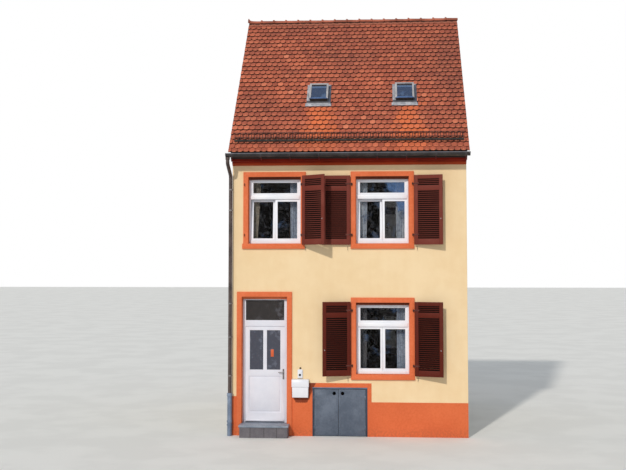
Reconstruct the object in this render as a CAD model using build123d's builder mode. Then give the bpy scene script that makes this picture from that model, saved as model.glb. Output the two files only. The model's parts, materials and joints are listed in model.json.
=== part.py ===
"""A narrow two-storey rendered townhouse with a steep tiled roof, from ground level up.

Millimetres, +Z up, the street front faces -Y. The origin is at ground level in the middle of the
footprint. Each piece is written to parts/ as a STEP file of its own.

The front is set out from its left end: door, letterbox, hatch and windows each follow from the
piece on their left. Heights are set out from the ground floor: door and windows, then the floors
and the roof over them.
"""

import math
import os
from collections import namedtuple

from build123d import *

# Shell
house_width = 5200
house_depth = 6000
outer_wall = 365
party_wall = 200

# Heights
ground_level = 270
door_height = 2782
lower_head_drop = 124
lower_window_height = 1568
lower_top_light = 494
lower_lintel = 472
upper_floor_depth = 220
upper_sill_rise = 835
upper_window_height = 1487
upper_top_light = 450
upper_lintel = 378
attic_floor_depth = 200
eave_over_attic = 130

# Setting out along the front, from its left end
door_from_left = 726
hatch_from_door = 454
upper_window_from_left = 947
shutter_bay = 1056
rear_window_inset = 1350

# Roof
roof_pitch = 47.5
eave_reach = 400
verge_reach = 50
tile_depth = 60
tile_step = 16
course_pitch = 160
deck_depth = 110
deck_back = 110
ridge_half = 60
ridge_rise = 78
ridge_tile = 310
ridge_collar = 44
ridge_collar_rise = 24
ridge_collar_side = 10

# Stone surrounds
surround_band = 110
surround_proud = 30
lining_side = 10
lining_head = 53
lining_wall = 25
lining_setback = 40
reveal = 120
sill_height = 120
sill_seat = 60
sill_fall = 8
sill_nose_drop = 42
sill_nose_chamfer = 8
sill_nose_proud = 12
left_sill_drift = -22

# Windows
window_width = 1180
frame_depth = 70
frame_stop = 15
stop_lap = 8
frame_side = 30
frame_foot = 58
frame_top = 12
transom_bar = 80
bar_nose = 18
sash_width = 52
sash_depth = 50
sash_gap = 3
pane_thickness = 10
tilt = 5.0

# Front door
door_width = 1010
door_jamb = 38
door_frame_head = 25
door_leaf_height = 2119
door_threshold = 8
door_gap = 7
door_leaf_depth = 45
door_setback = 15
door_transom = 116
door_stop = 12
fanlight_margin = 20
door_stile = 108
door_mullion = 82
door_pane_rise = 1145
door_pane_drop = 100
door_panel_rise = 204
door_panel_height = 800
door_panel_width = 714
door_panel_recess = 12
door_panel_border = 28
door_panel_field = 8
door_panel_slope = 20
weatherboard_inset = 25
weatherboard_rise = 20
weatherboard_nose = 12
weatherboard_height = 50
weatherboard_reach = 26
door_hinge_radius = 9
door_hinge_height = 45
door_hinge_plate = 3
door_hinge_flap = 34
door_hinge_inset = 200
running_gap = 0.3
handle_rise = 1105
handle_plate_width = 32
handle_plate_height = 230
handle_plate_drop = 40
handle_plate_corner = 8
handle_plate_depth = 8
handle_reach = 50
handle_length = 120
handle_radius = 9
handle_inset = 38

# Doorstep
step_width = 1092
step_shift = 20
step_reach = 350
step_thickness = 45
step_nose = 20

# Painted plinth
plinth_coat = 4
plinth_left_top = 857
plinth_right_top = 750
plinth_over_hatch = 95
plinth_beside_hatch = 90

# Cellar hatch
hatch_width = 1210
hatch_under_sill = 174
hatch_meeting = -34
hatch_bar = 35
hatch_frame_depth = 40
hatch_plate = 5
hatch_return = 25
hatch_return_depth = 20
hatch_gap = 6
hatch_foot = 12
hatch_vent_radius = 38
hatch_vent_offset = 92
hatch_vent_drop = 90
hatch_hinge_radius = 8
hatch_hinge_length = 80
hatch_hinge_foot = 140
hatch_hinge_drop = 140
hatch_flap_width = 40
hatch_flap_depth = 4
cellar_well = 1000

# Shutters
leaf_depth = 35
leaf_clear = 8
leaf_meeting_gap = 5
hinge_offset = 36
pintle_inset = 29
pintle_drift = 73
leaf_over_head = 20
leaf_below_sill = 32
leaf_stile = 80
leaf_head_rail = 76
leaf_mid_rail = 104
leaf_foot_rail = 132
leaf_top_panel = 156
slat_pitch = 44
slat_width = 46
slat_thickness = 7
slat_angle = 52
slat_tenon = 6
knob_radius = 11
knob_reach = 16
knob_inset = 42
knob_rise = 570
pin_radius = 7
pin_clearance = 0.05
pin_top = 10
eye_wall = 6
eye_height = 34
strap_thickness = 5
strap_crank = 8
strap_start = 2
strap_length = 100
hinge_inset = 205
pintle_arm = 12
pintle_toe = 5
hook_bar = 6
hook_reach = 26
hook_drop = 75
hook_curl = 16
hook_bend = 7
hook_under_leaf = 45
hook_along_leaf = 60

# Letterbox and doorbell
letterbox_gap = 1
letterbox_width = 377
letterbox_foot = 847
letterbox_height = 404
letterbox_depth = 96
letterbox_taper = 13
letterbox_edge = 10
letterbox_lid_height = 174
letterbox_lid_depth = 110
letterbox_lid_slope = 36
letterbox_lid_lap = 8
bell_gap = 17
bell_shift = -7
bell_width = 110
bell_height = 188
bell_corner = 10
bell_depth = 26
button_radius = 24
button_rise = 67
button_shift = -5
button_depth = 7

# Cornice
cornice_drop = 125
cornice_soffit_drop = 44
cornice_back = 35
cornice_lip = 30
cornice_lip_height = 12
cornice_cove = 95
cornice_belly = (68, 40)

# Rainwater goods
gutter_radius = 78
gutter_wall = 3
gutter_under_eave = 15
gutter_rim_drop = 25
gutter_bead = 9
gutter_end = 8
gutter_run_on = 50
bracket_spacing = 640
bracket_width = 25
bracket_strap = 4
bracket_folds = 16
bracket_foot_depth = 12
bracket_foot_drop = 131
bracket_clearance = 0.5
pipe_radius = 40
pipe_stand_off = 68
pipe_shift = 33
pipe_outlet_shift = 55
pipe_outlet_drop = 142
pipe_neck_drop = 245
pipe_bend = 90
pipe_collar = 8
pipe_collar_height = 50
stand_pipe_radius = 52
stand_pipe_top = 935
stand_pipe_socket = 60
stand_pipe_clearance = 0.5
stand_pipe_band = 8
stand_pipe_bands = ((225, 30), (295, 40), (865, 70))
clip_heights = (5420, 4960, 2890, 2150, 1300)
clip_wall = 4
clip_height = 28
clip_arm = 12

# Snow guard
guard_up_slope = 330
guard_lift = 12
guard_height = 215
guard_bar = 14
guard_pitch = 62
guard_rail = 14
guard_foot_rail = 36
guard_rail_inset = 24
guard_depth = 6
guard_margin = 60
stay_count = 7
stay_margin = 100
stay_width = 8
stay_height = 110
stay_spread = 150

# Skylights
skylights_from_left = (1880, 3872)
skylight_width = 440
skylight_foot = 1770
skylight_length = 575
skylight_kerb_height = 70
skylight_kerb_inset = 18
skylight_kerb_wall = 22
skylight_lid = 30
skylight_lid_bar = 46
skylight_pane = 8
skylight_pane_drop = 10
flashing_depth = 8
flashing_side = 60
apron_length = 105
apron_flare = 23
hole_margin = 60

# Curtains
curtain_setback = 318
curtain_depth = 26
curtain_width = 290
curtain_inset = 15
curtain_clear = 10
rail_radius = 9
rail_drop = 30

# Levels
door_head = ground_level + door_height
lower_head = door_head - lower_head_drop
lower_sill = lower_head - lower_window_height
lower_transom = lower_head - lower_top_light
upper_level = lower_head + lower_lintel
upper_sill = upper_level + upper_sill_rise
upper_head = upper_sill + upper_window_height
upper_transom = upper_head - upper_top_light
attic_level = upper_head + upper_lintel
eave_height = attic_level + eave_over_attic
hatch_top = lower_sill - sill_height - hatch_under_sill

# Places along the front
left = -house_width / 2
right = house_width / 2
front = house_depth / 2
room_front = front - outer_wall
door_centre = left + door_from_left
surround_left = door_centre - door_width / 2 - surround_band
surround_right = door_centre + door_width / 2 + surround_band
hatch_left = surround_right + hatch_from_door
hatch_right = hatch_left + hatch_width
hatch_centre = (hatch_left + hatch_right) / 2
pintle_reach = window_width / 2 + surround_band - pintle_inset
upper_left_centre = left + upper_window_from_left
right_centre = upper_left_centre + 2 * pintle_reach + shutter_bay

# Roof lines
pitch = math.radians(roof_pitch)
rise = math.tan(pitch)
eave_edge = front + eave_reach
deck_reach = eave_reach - deck_back
cornice_reach = deck_reach - cornice_back
gutter_y = front + eave_reach - gutter_under_eave
gutter_rim = eave_height - gutter_rim_drop
pipe_x = left - pipe_shift
pipe_y = -front - pipe_stand_off

# A sketch on either face has x along the wall, y upwards and its normal out of the house.
facade = Plane(origin=(0, -front, 0), x_dir=(1, 0, 0), z_dir=(0, -1, 0))
rear = Plane(origin=(0, front, 0), x_dir=(-1, 0, 0), z_dir=(0, 1, 0))

Window = namedtuple("Window", "face centre sill head transom tilted drift")
upper_left_window = Window(
    facade, upper_left_centre, upper_sill, upper_head, upper_transom, True, left_sill_drift
)
upper_right_window = Window(
    facade, right_centre, upper_sill, upper_head, upper_transom, True, 0
)
lower_window = Window(facade, right_centre, lower_sill, lower_head, lower_transom, False, 0)
front_windows = [upper_left_window, upper_right_window, lower_window]
rear_windows = [
    Window(rear, side * (house_width / 2 - rear_window_inset), sill, head, transom, False, 0)
    for side in (-1, 1)
    for sill, head, transom in (
        (upper_sill, upper_head, upper_transom),
        (lower_sill, lower_head, lower_transom),
    )
]

os.makedirs("parts", exist_ok=True)


def save(piece, name):
    piece.part.label = name
    export_step(piece.part, f"parts/{name}.step")


def span(x0, x1, z0, z1, mode=Mode.ADD):
    """A rectangle between two edges each way, in the sketch being drawn."""
    with Locations(((x0 + x1) / 2, (z0 + z1) / 2)):
        Rectangle(abs(x1 - x0), abs(z1 - z0), mode=mode)


def tile_line(y):
    """Height of the tiles' upper face over a place y, on either slope."""
    return eave_height + (eave_edge - abs(y)) * rise


def deck_top(y):
    return tile_line(y) - tile_depth / math.cos(pitch)


def deck_under(y):
    return deck_top(y) - deck_depth / math.cos(pitch)


# Edges of the openings
def light_side():
    return window_width / 2 - lining_side


def wall_opening(window, mode=Mode.SUBTRACT):
    """The rough opening that a window's lining stones and frame stand in."""
    half = light_side() + lining_wall
    span(
        window.centre - half,
        window.centre + half,
        window.sill - sill_seat,
        window.head + lining_wall - lining_side,
        mode,
    )


door_light = door_width / 2 - lining_side
door_rough = door_light + lining_wall
door_rough_top = door_head + lining_wall - lining_side


# Floors and walls
def ground_floor():
    with BuildPart() as floor:
        with BuildSketch(Plane.XY):
            span(left + party_wall, right - party_wall, -room_front, room_front)
            span(hatch_left, hatch_right, -room_front, -room_front + cellar_well, Mode.SUBTRACT)
        extrude(amount=ground_level)
    save(floor, "ground_floor")


def hung_floor(name, level, depth):
    with BuildPart() as floor:
        with BuildSketch(Plane.XY.offset(level)):
            span(left + party_wall, right - party_wall, -room_front, room_front)
        extrude(amount=-depth)
    save(floor, name)


def front_pier(name, x0, x1, z0, z1, windows=()):
    """A stretch of the front wall between two edges, with the windows that fall in it."""
    with BuildPart() as wall:
        with BuildSketch(facade):
            span(x0, x1, z0, z1)
            for window in windows:
                wall_opening(window)
        extrude(amount=-outer_wall)
    save(wall, name)


def topped_wall(name, face, foot, windows):
    """A wall that ends under the slope of the roof, with its windows cut through."""
    side = -1 if face is facade else 1
    with BuildPart() as wall:
        with BuildSketch(Plane.YZ.offset(left)):
            with BuildLine():
                Polyline(
                    (side * front, foot),
                    (side * front, deck_under(front)),
                    (side * room_front, deck_under(room_front)),
                    (side * room_front, foot),
                    close=True,
                )
            make_face()
        extrude(amount=house_width)
        with BuildSketch(face):
            for window in windows:
                wall_opening(window, Mode.ADD)
        extrude(amount=-outer_wall, mode=Mode.SUBTRACT)
    save(wall, name)


def gable_wall(name, x0):
    with BuildPart() as wall:
        with BuildSketch(Plane.YZ.offset(x0)):
            with BuildLine():
                Polyline(
                    (-room_front, 0),
                    (-room_front, deck_under(room_front)),
                    (0, deck_under(0)),
                    (room_front, deck_under(room_front)),
                    (room_front, 0),
                    close=True,
                )
            make_face()
        extrude(amount=party_wall)
    save(wall, name)


def walls():
    storey = door_rough_top
    front_pier("front_wall_left", left, door_centre - door_rough, 0, storey)
    front_pier("front_wall_middle", door_centre + door_rough, hatch_left, 0, storey)
    front_pier("front_wall_base", hatch_right, right, 0, hatch_top)
    front_pier("front_wall_lower", hatch_left, right, hatch_top, storey, [lower_window])
    topped_wall("front_wall_upper", facade, storey, [upper_left_window, upper_right_window])
    topped_wall("back_wall", rear, 0, rear_windows)
    gable_wall("left_party_wall", left)
    gable_wall("right_party_wall", right - party_wall)


def plinth():
    """A coat of render round the foot of the front, stepped down beside the hatch."""
    step = hatch_right + plinth_beside_hatch
    with BuildPart() as coat:
        with BuildSketch(facade):
            span(left, surround_left, 0, plinth_left_top)
            span(surround_right, step, 0, hatch_top + plinth_over_hatch)
            span(step, right, 0, plinth_right_top)
            span(hatch_left, hatch_right, 0, hatch_top, Mode.SUBTRACT)
        extrude(amount=plinth_coat)
    save(coat, "plinth_coat")


# Stone surrounds
def window_sill(window):
    """A slab under the window, weathered on top and with a nose below the shutters' feet."""
    half = window_width / 2 + surround_band
    nose = surround_proud + sill_nose_proud
    nose_top = window.sill - sill_nose_drop
    start = window.face.from_local_coords(Vector(window.centre + window.drift - half, 0, 0))
    section = Plane(origin=start, x_dir=window.face.z_dir, z_dir=window.face.x_dir)
    up = section.y_dir.Z
    with BuildSketch(section) as slab:
        with BuildLine():
            Polyline(
                (0, up * (window.sill - sill_height)),
                (nose, up * (window.sill - sill_height)),
                (nose, up * (nose_top - sill_nose_chamfer)),
                (surround_proud, up * nose_top),
                (surround_proud, up * (window.sill - sill_fall)),
                (0, up * window.sill),
                close=True,
            )
        make_face()
    extrude(slab.sketch, amount=2 * half)


def window_surround(window):
    """Jambs, head and sill of one window, proud of the wall and returned into its reveal."""
    x0 = window.centre - window_width / 2
    x1 = window.centre + window_width / 2
    with BuildSketch(window.face) as band:
        span(
            x0 - surround_band,
            x1 + surround_band,
            window.sill - sill_fall,
            window.head + surround_band,
        )
        span(x0, x1, window.sill - sill_fall, window.head, Mode.SUBTRACT)
    extrude(band.sketch, amount=surround_proud)
    with BuildSketch(window.face) as jamb:
        wall_opening(window, Mode.ADD)
        span(x0, x1, window.sill, window.head, Mode.SUBTRACT)
    extrude(jamb.sketch, amount=-lining_setback)
    with BuildSketch(window.face.offset(-lining_setback)) as lining:
        wall_opening(window, Mode.ADD)
        span(
            window.centre - light_side(),
            window.centre + light_side(),
            window.sill,
            window.head - lining_head,
            Mode.SUBTRACT,
        )
    extrude(lining.sketch, amount=lining_setback - reveal)
    window_sill(window)


def surrounds(name, windows):
    with BuildPart() as stones:
        for window in windows:
            window_surround(window)
    save(stones, name)


def door_surround():
    half = door_width / 2
    with BuildPart() as stones:
        with BuildSketch(facade):
            span(surround_left, surround_right, 0, door_head + surround_band)
            span(door_centre - half, door_centre + half, 0, door_head, Mode.SUBTRACT)
        extrude(amount=surround_proud)
        with BuildSketch(facade):
            span(door_centre - door_rough, door_centre + door_rough, 0, door_rough_top)
            span(door_centre - half, door_centre + half, 0, door_head, Mode.SUBTRACT)
        extrude(amount=-lining_setback)
        with BuildSketch(facade.offset(-lining_setback)):
            span(door_centre - door_rough, door_centre + door_rough, 0, door_rough_top)
            span(
                door_centre - door_light,
                door_centre + door_light,
                0,
                door_head - lining_head,
                Mode.SUBTRACT,
            )
        extrude(amount=lining_setback - reveal)
    save(stones, "door_surround")


# Windows
def frame_inner(window):
    """Left, right, foot and top of the opening inside a window's frame."""
    half = light_side() - frame_side
    return (
        window.centre - half,
        window.centre + half,
        window.sill + frame_foot,
        window.head - lining_head - frame_top,
    )


def window_frame(window):
    x0, x1, foot, top = frame_inner(window)
    bar0 = window.transom - transom_bar / 2
    bar1 = window.transom + transom_bar / 2
    face = window.face.offset(-reveal)
    with BuildSketch(face) as ring:
        wall_opening(window, Mode.ADD)
        span(x0, x1, foot, bar0, Mode.SUBTRACT)
        span(x0, x1, bar1, top, Mode.SUBTRACT)
    extrude(ring.sketch, amount=-frame_depth)
    with BuildSketch(face) as stop:
        span(x0, x1, foot, bar0)
        span(x0 + stop_lap, x1 - stop_lap, foot + stop_lap, bar0 - stop_lap, Mode.SUBTRACT)
        span(x0, x1, bar1, top)
        span(x0 + stop_lap, x1 - stop_lap, bar1 + stop_lap, top - stop_lap, Mode.SUBTRACT)
    extrude(stop.sketch, amount=-frame_stop)
    with BuildSketch(face) as nose:
        span(x0, x1, bar0, bar1)
    extrude(nose.sketch, amount=bar_nose)


def tilted_plane(seat, hinge):
    """The seat of a casement that leans into the room about its bottom edge."""
    lift = sash_depth * math.sin(math.radians(tilt))
    swung = Plane(
        origin=seat.from_local_coords(Vector(0, hinge + lift, 0)),
        x_dir=seat.x_dir,
        z_dir=seat.z_dir.rotate(Axis((0, 0, 0), seat.x_dir), -tilt),
    )
    swung.origin = swung.from_local_coords(Vector(0, -hinge, 0))
    return swung


def casement_lights(window):
    """Plane and outer edges of each sash of one window, in their own planes."""
    x0, x1, foot, top = frame_inner(window)
    bar0 = window.transom - transom_bar / 2
    bar1 = window.transom + transom_bar / 2
    seat = window.face.offset(-reveal - frame_stop)
    hinge = foot + sash_gap
    swung = tilted_plane(seat, hinge) if window.tilted else seat
    mid = window.centre
    return [
        (seat, x0 + sash_gap, x1 - sash_gap, bar1 + sash_gap, top - sash_gap),
        (swung, x0 + sash_gap, mid - sash_gap / 2, hinge, bar0 - sash_gap),
        (seat, mid + sash_gap / 2, x1 - sash_gap, hinge, bar0 - sash_gap),
    ]


def window_sash(light):
    plane, x0, x1, foot, top = light
    with BuildSketch(plane) as ring:
        span(x0, x1, foot, top)
        span(x0 + sash_width, x1 - sash_width, foot + sash_width, top - sash_width, Mode.SUBTRACT)
    extrude(ring.sketch, amount=-sash_depth)


def window_pane(light):
    plane, x0, x1, foot, top = light
    with BuildSketch(plane.offset(-(sash_depth - pane_thickness) / 2)) as pane:
        span(x0 + sash_width, x1 - sash_width, foot + sash_width, top - sash_width)
    extrude(pane.sketch, amount=-pane_thickness)


def windows():
    for side, group in (("front", front_windows), ("back", rear_windows)):
        with BuildPart() as frames:
            for window in group:
                window_frame(window)
        save(frames, f"window_frames_{side}")
        with BuildPart() as sashes:
            for window in group:
                for light in casement_lights(window):
                    window_sash(light)
        save(sashes, f"window_sashes_{side}")
        with BuildPart() as glass:
            for window in group:
                for light in casement_lights(window):
                    window_pane(light)
        save(glass, f"window_glass_{side}")


# Front door
door_leaf_width = 2 * (door_light - door_jamb - door_gap)
door_x0 = door_centre - door_leaf_width / 2
door_x1 = door_centre + door_leaf_width / 2
door_foot = ground_level + door_gap + door_threshold
door_leaf_top = door_foot + door_leaf_height
door_face = facade.offset(-reveal - door_setback)
door_outer_y = -front + reveal + door_setback
door_inner_y = door_outer_y + door_leaf_depth
door_axis_x = door_x0 - door_gap / 2
door_axis_y = door_inner_y + door_hinge_radius
door_hinge_places = (
    door_foot + door_hinge_inset,
    (door_foot + door_leaf_top) / 2,
    door_leaf_top - door_hinge_inset,
)
door_panes = (
    (door_x0 + door_stile, door_centre - door_mullion / 2),
    (door_centre + door_mullion / 2, door_x1 - door_stile),
)
fanlight = (
    door_x0 + fanlight_margin,
    door_x1 - fanlight_margin,
    door_leaf_top + door_gap + door_transom,
    door_head - lining_head - door_frame_head,
)


def door_hinge_halves(side):
    """Hinge barrels and flaps, on the frame with side -1 and above them on the leaf with side 1."""
    flap_edge = door_x0 if side > 0 else door_x0 - door_gap
    for z in door_hinge_places:
        foot = z + (running_gap if side > 0 else -door_hinge_height)
        with BuildSketch(Plane.XY.offset(foot)) as half:
            with Locations((door_axis_x, door_axis_y)):
                Circle(door_hinge_radius)
            span(
                door_axis_x,
                flap_edge + side * door_hinge_flap,
                door_inner_y,
                door_inner_y + door_hinge_plate,
            )
        extrude(half.sketch, amount=door_hinge_height)


def door_frame():
    x0 = door_x0 - door_gap
    x1 = door_x1 + door_gap
    top = door_leaf_top + door_gap
    lap = door_gap + door_stop
    with BuildPart() as frame:
        with BuildSketch(facade.offset(-reveal)):
            span(door_centre - door_rough, door_centre + door_rough, ground_level, door_rough_top)
            span(x0, x1, ground_level, top, Mode.SUBTRACT)
            span(*fanlight, Mode.SUBTRACT)
        extrude(amount=-door_setback - door_leaf_depth)
        with BuildSketch(facade.offset(-reveal)):
            span(x0, x1, ground_level, top)
            span(x0 + lap, x1 - lap, ground_level, top - lap, Mode.SUBTRACT)
        extrude(amount=-door_setback + door_gap)
        door_hinge_halves(-1)
    save(frame, "door_frame")

    with BuildPart() as glass:
        with BuildSketch(door_face):
            span(*fanlight)
        extrude(amount=-pane_thickness)
    save(glass, "fanlight_glass")


def door_panel(plane, inward):
    """A sunk panel with a raised field, cut into one face of the leaf."""
    half = door_panel_width / 2
    foot = door_foot + door_panel_rise
    top = foot + door_panel_height
    with BuildSketch(plane) as sinking:
        span(door_centre - half, door_centre + half, foot, top)
    extrude(sinking.sketch, amount=inward * door_panel_recess, mode=Mode.SUBTRACT)
    with BuildSketch(plane.offset(inward * door_panel_recess)) as field:
        span(
            door_centre - half + door_panel_border,
            door_centre + half - door_panel_border,
            foot + door_panel_border,
            top - door_panel_border,
        )
    extrude(field.sketch, amount=-inward * door_panel_field, taper=door_panel_slope)


def weatherboard():
    foot = door_foot + weatherboard_rise
    with BuildSketch(Plane.YZ.offset(door_x0 + weatherboard_inset)) as section:
        with BuildLine():
            Polyline(
                (door_outer_y, foot),
                (door_outer_y - weatherboard_reach, foot),
                (door_outer_y - weatherboard_reach, foot + weatherboard_nose),
                (door_outer_y, foot + weatherboard_height),
                close=True,
            )
        make_face()
    extrude(section.sketch, amount=door_leaf_width - 2 * weatherboard_inset)


def door_leaf():
    pane_foot = door_foot + door_pane_rise
    pane_top = door_leaf_top - door_pane_drop
    with BuildPart() as leaf:
        with BuildSketch(door_face):
            span(door_x0, door_x1, door_foot, door_leaf_top)
            for x0, x1 in door_panes:
                span(x0, x1, pane_foot, pane_top, Mode.SUBTRACT)
        extrude(amount=-door_leaf_depth)
        door_panel(door_face, -1)
        door_panel(door_face.offset(-door_leaf_depth), 1)
        weatherboard()
        door_hinge_halves(1)
    save(leaf, "door_leaf")

    with BuildPart() as glass:
        with BuildSketch(door_face.offset(-(door_leaf_depth - pane_thickness) / 2)):
            for x0, x1 in door_panes:
                span(x0, x1, pane_foot, pane_top)
        extrude(amount=-pane_thickness)
    save(glass, "door_glass")


def door_handle():
    """Long plates and levers on both faces, in one solid each."""
    x = door_x1 - handle_inset
    height = ground_level + handle_rise
    inner = Plane(
        origin=door_face.from_local_coords(Vector(0, 0, -door_leaf_depth)),
        x_dir=door_face.x_dir * -1,
        z_dir=door_face.z_dir * -1,
    )
    with BuildPart() as handle:
        for plane, side in ((door_face, 1), (inner, -1)):
            with BuildSketch(plane):
                with Locations((side * x, height - handle_plate_drop)):
                    RectangleRounded(handle_plate_width, handle_plate_height, handle_plate_corner)
            extrude(amount=handle_plate_depth)
            with BuildSketch(plane.offset(handle_plate_depth)):
                with Locations((side * x, height)):
                    Circle(handle_radius)
            extrude(amount=handle_reach - handle_plate_depth)
            end = plane.from_local_coords(Vector(side * (x + handle_radius), height, handle_reach))
            with BuildSketch(Plane(origin=end, x_dir=(0, 0, 1), z_dir=plane.x_dir * -side)):
                Circle(handle_radius)
            extrude(amount=handle_length)
    save(handle, "door_handle")


# Doorstep
def threshold():
    """The part of the step that lies inside the doorway, in the sketch being drawn."""
    half = door_width / 2
    span(door_centre - half, door_centre + half, -front - surround_proud, -front + lining_setback)
    span(
        door_centre - door_light,
        door_centre + door_light,
        -front + lining_setback,
        -front + reveal,
    )
    span(door_centre - door_rough, door_centre + door_rough, -front + reveal, -room_front)


def doorstep():
    x0 = door_centre + step_shift - step_width / 2
    x1 = x0 + step_width
    with BuildPart() as slab:
        with BuildSketch(Plane.XY.offset(ground_level)):
            span(x0, x1, -front - step_reach, -front - surround_proud)
            threshold()
        extrude(amount=-step_thickness)
    save(slab, "doorstep_slab")

    with BuildPart() as riser:
        with BuildSketch(Plane.XY):
            span(
                x0 + step_nose,
                x1 - step_nose,
                -front - step_reach + step_nose,
                -front - surround_proud,
            )
            threshold()
        extrude(amount=ground_level - step_thickness)
    save(riser, "doorstep_riser")


# Cellar hatch
def hatch():
    with BuildPart() as frame:
        with BuildSketch(facade):
            span(hatch_left, hatch_right, 0, hatch_top)
            span(
                hatch_left + hatch_bar,
                hatch_right - hatch_bar,
                0,
                hatch_top - hatch_bar,
                Mode.SUBTRACT,
            )
        extrude(amount=-hatch_frame_depth)
    save(frame, "hatch_frame")
    for name, side in (("hatch_leaf_left", -1), ("hatch_leaf_right", 1)):
        hatch_leaf(name, side)


def hatch_leaf(name, side):
    """A folded steel leaf with a return on each edge, a vent and two hinge barrels."""
    axis_x = hatch_centre + side * (hatch_width / 2 - hatch_bar)
    meeting = hatch_centre + hatch_meeting
    x0, x1 = sorted((axis_x - side * hatch_gap, meeting + side * hatch_gap / 2))
    foot = hatch_foot
    top = hatch_top - hatch_bar - hatch_gap
    with BuildPart() as leaf:
        with BuildSketch(facade):
            span(x0, x1, foot, top)
        extrude(amount=-hatch_return)
        with BuildSketch(facade.offset(-hatch_plate)):
            span(
                x0 + hatch_return_depth,
                x1 - hatch_return_depth,
                foot + hatch_return_depth,
                top - hatch_return_depth,
            )
        extrude(amount=-hatch_return, mode=Mode.SUBTRACT)
        with BuildSketch(facade):
            with Locations((meeting + side * hatch_vent_offset, top - hatch_vent_drop)):
                Circle(hatch_vent_radius)
        extrude(amount=-hatch_plate, mode=Mode.SUBTRACT)
        for z in (foot + hatch_hinge_foot, top - hatch_hinge_drop - hatch_hinge_length):
            with BuildSketch(Plane.XY.offset(z)):
                with Locations((axis_x, -front - hatch_hinge_radius)):
                    Circle(hatch_hinge_radius)
                span(axis_x, axis_x - side * hatch_flap_width, -front - hatch_flap_depth, -front)
            extrude(amount=hatch_hinge_length)
    save(leaf, name)


# Shutters
def pintle_x(window, side, drift=0):
    return window.centre + side * (pintle_reach - drift)


Shutter = namedtuple("Shutter", "name window side x off_wall")
shutters = [
    Shutter(
        "shutter_upper_left_window_right",
        upper_left_window,
        1,
        pintle_x(upper_left_window, 1, pintle_drift),
        36,
    ),
    Shutter(
        "shutter_upper_right_window_left",
        upper_right_window,
        -1,
        pintle_x(upper_right_window, -1),
        0,
    ),
    Shutter(
        "shutter_upper_right_window_right",
        upper_right_window,
        1,
        pintle_x(upper_right_window, 1),
        12,
    ),
    Shutter("shutter_lower_window_left", lower_window, -1, pintle_x(lower_window, -1), 15),
    Shutter("shutter_lower_window_right", lower_window, 1, pintle_x(lower_window, 1), 17),
]
leaf_width = pintle_reach - hinge_offset - leaf_meeting_gap
axis_reach = surround_proud + leaf_clear + leaf_depth / 2


def leaf_foot(window):
    return window.sill - leaf_below_sill


def leaf_top(window):
    return window.head + leaf_over_head


def pintle_heights(window):
    return leaf_foot(window) + hinge_inset, leaf_top(window) - hinge_inset


def leaf_frame(plane, foot, top, panels):
    """Stiles and rails, with the louvred panels left open."""
    x0 = hinge_offset
    x1 = hinge_offset + leaf_width
    with BuildSketch(plane.offset(-leaf_depth / 2)) as frame:
        span(x0, x1, foot, top)
        for low, high in panels:
            span(x0 + leaf_stile, x1 - leaf_stile, low, high, Mode.SUBTRACT)
    extrude(frame.sketch, amount=leaf_depth)


def louvres(plane, inward, panels):
    """Sloping slats, let into both stiles, evenly spaced up each panel."""
    heights = []
    for low, high in panels:
        count = round((high - low) / slat_pitch)
        heights += [low + (high - low) * (i + 0.5) / count for i in range(count)]
    start = hinge_offset + leaf_stile - slat_tenon
    with BuildSketch(plane.offset(inward * start)) as slats:
        with Locations(*[(0, z) for z in heights]):
            Rectangle(slat_width, slat_thickness, rotation=slat_angle)
    extrude(slats.sketch, amount=inward * (leaf_width - 2 * leaf_stile + 2 * slat_tenon))


def strap_eye(plane, face):
    """An eye round the pintle, cranked to a strap along one face of the leaf."""
    with BuildSketch(plane) as eye:
        with BuildLine():
            Polyline(
                (pin_radius + strap_start, 0),
                (hinge_offset - strap_crank, face),
                (hinge_offset + strap_length, face),
            )
        trace(line_width=strap_thickness)
        Circle(pin_radius + eye_wall)
        Circle(pin_radius + pin_clearance, mode=Mode.SUBTRACT)
    extrude(eye.sketch, amount=eye_height)


def shutter_leaf(shutter):
    """A louvred leaf hung on its pintles, turned off_wall degrees from lying against the wall."""
    angle = math.radians(shutter.off_wall)
    side = shutter.side
    along = Vector(side * math.cos(angle), -math.sin(angle), 0)
    up = Vector(0, 0, 1)
    pivot = Vector(shutter.x, -front - axis_reach, 0)
    leaf_plane = Plane(origin=pivot, x_dir=along, z_dir=along.cross(up))
    street = leaf_plane.z_dir * side
    slat_plane = Plane(origin=pivot, x_dir=street, z_dir=street.cross(up))
    foot = leaf_foot(shutter.window)
    top = leaf_top(shutter.window)
    mid_rail_top = top - leaf_head_rail - leaf_top_panel
    panels = (
        (mid_rail_top, top - leaf_head_rail),
        (foot + leaf_foot_rail, mid_rail_top - leaf_mid_rail),
    )
    with BuildPart() as leaf:
        leaf_frame(leaf_plane, foot, top, panels)
        louvres(slat_plane, -side, panels)
        for z in pintle_heights(shutter.window):
            eye_plane = Plane(origin=pivot + up * z, x_dir=along, z_dir=up)
            strap_eye(eye_plane, side * (leaf_depth + strap_thickness) / 2)
        with BuildSketch(leaf_plane.offset(side * leaf_depth / 2)) as knob:
            with Locations((hinge_offset + leaf_width - knob_inset, foot + knob_rise)):
                Circle(knob_radius)
        extrude(knob.sketch, amount=side * knob_reach)
    save(leaf, shutter.name)


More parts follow.
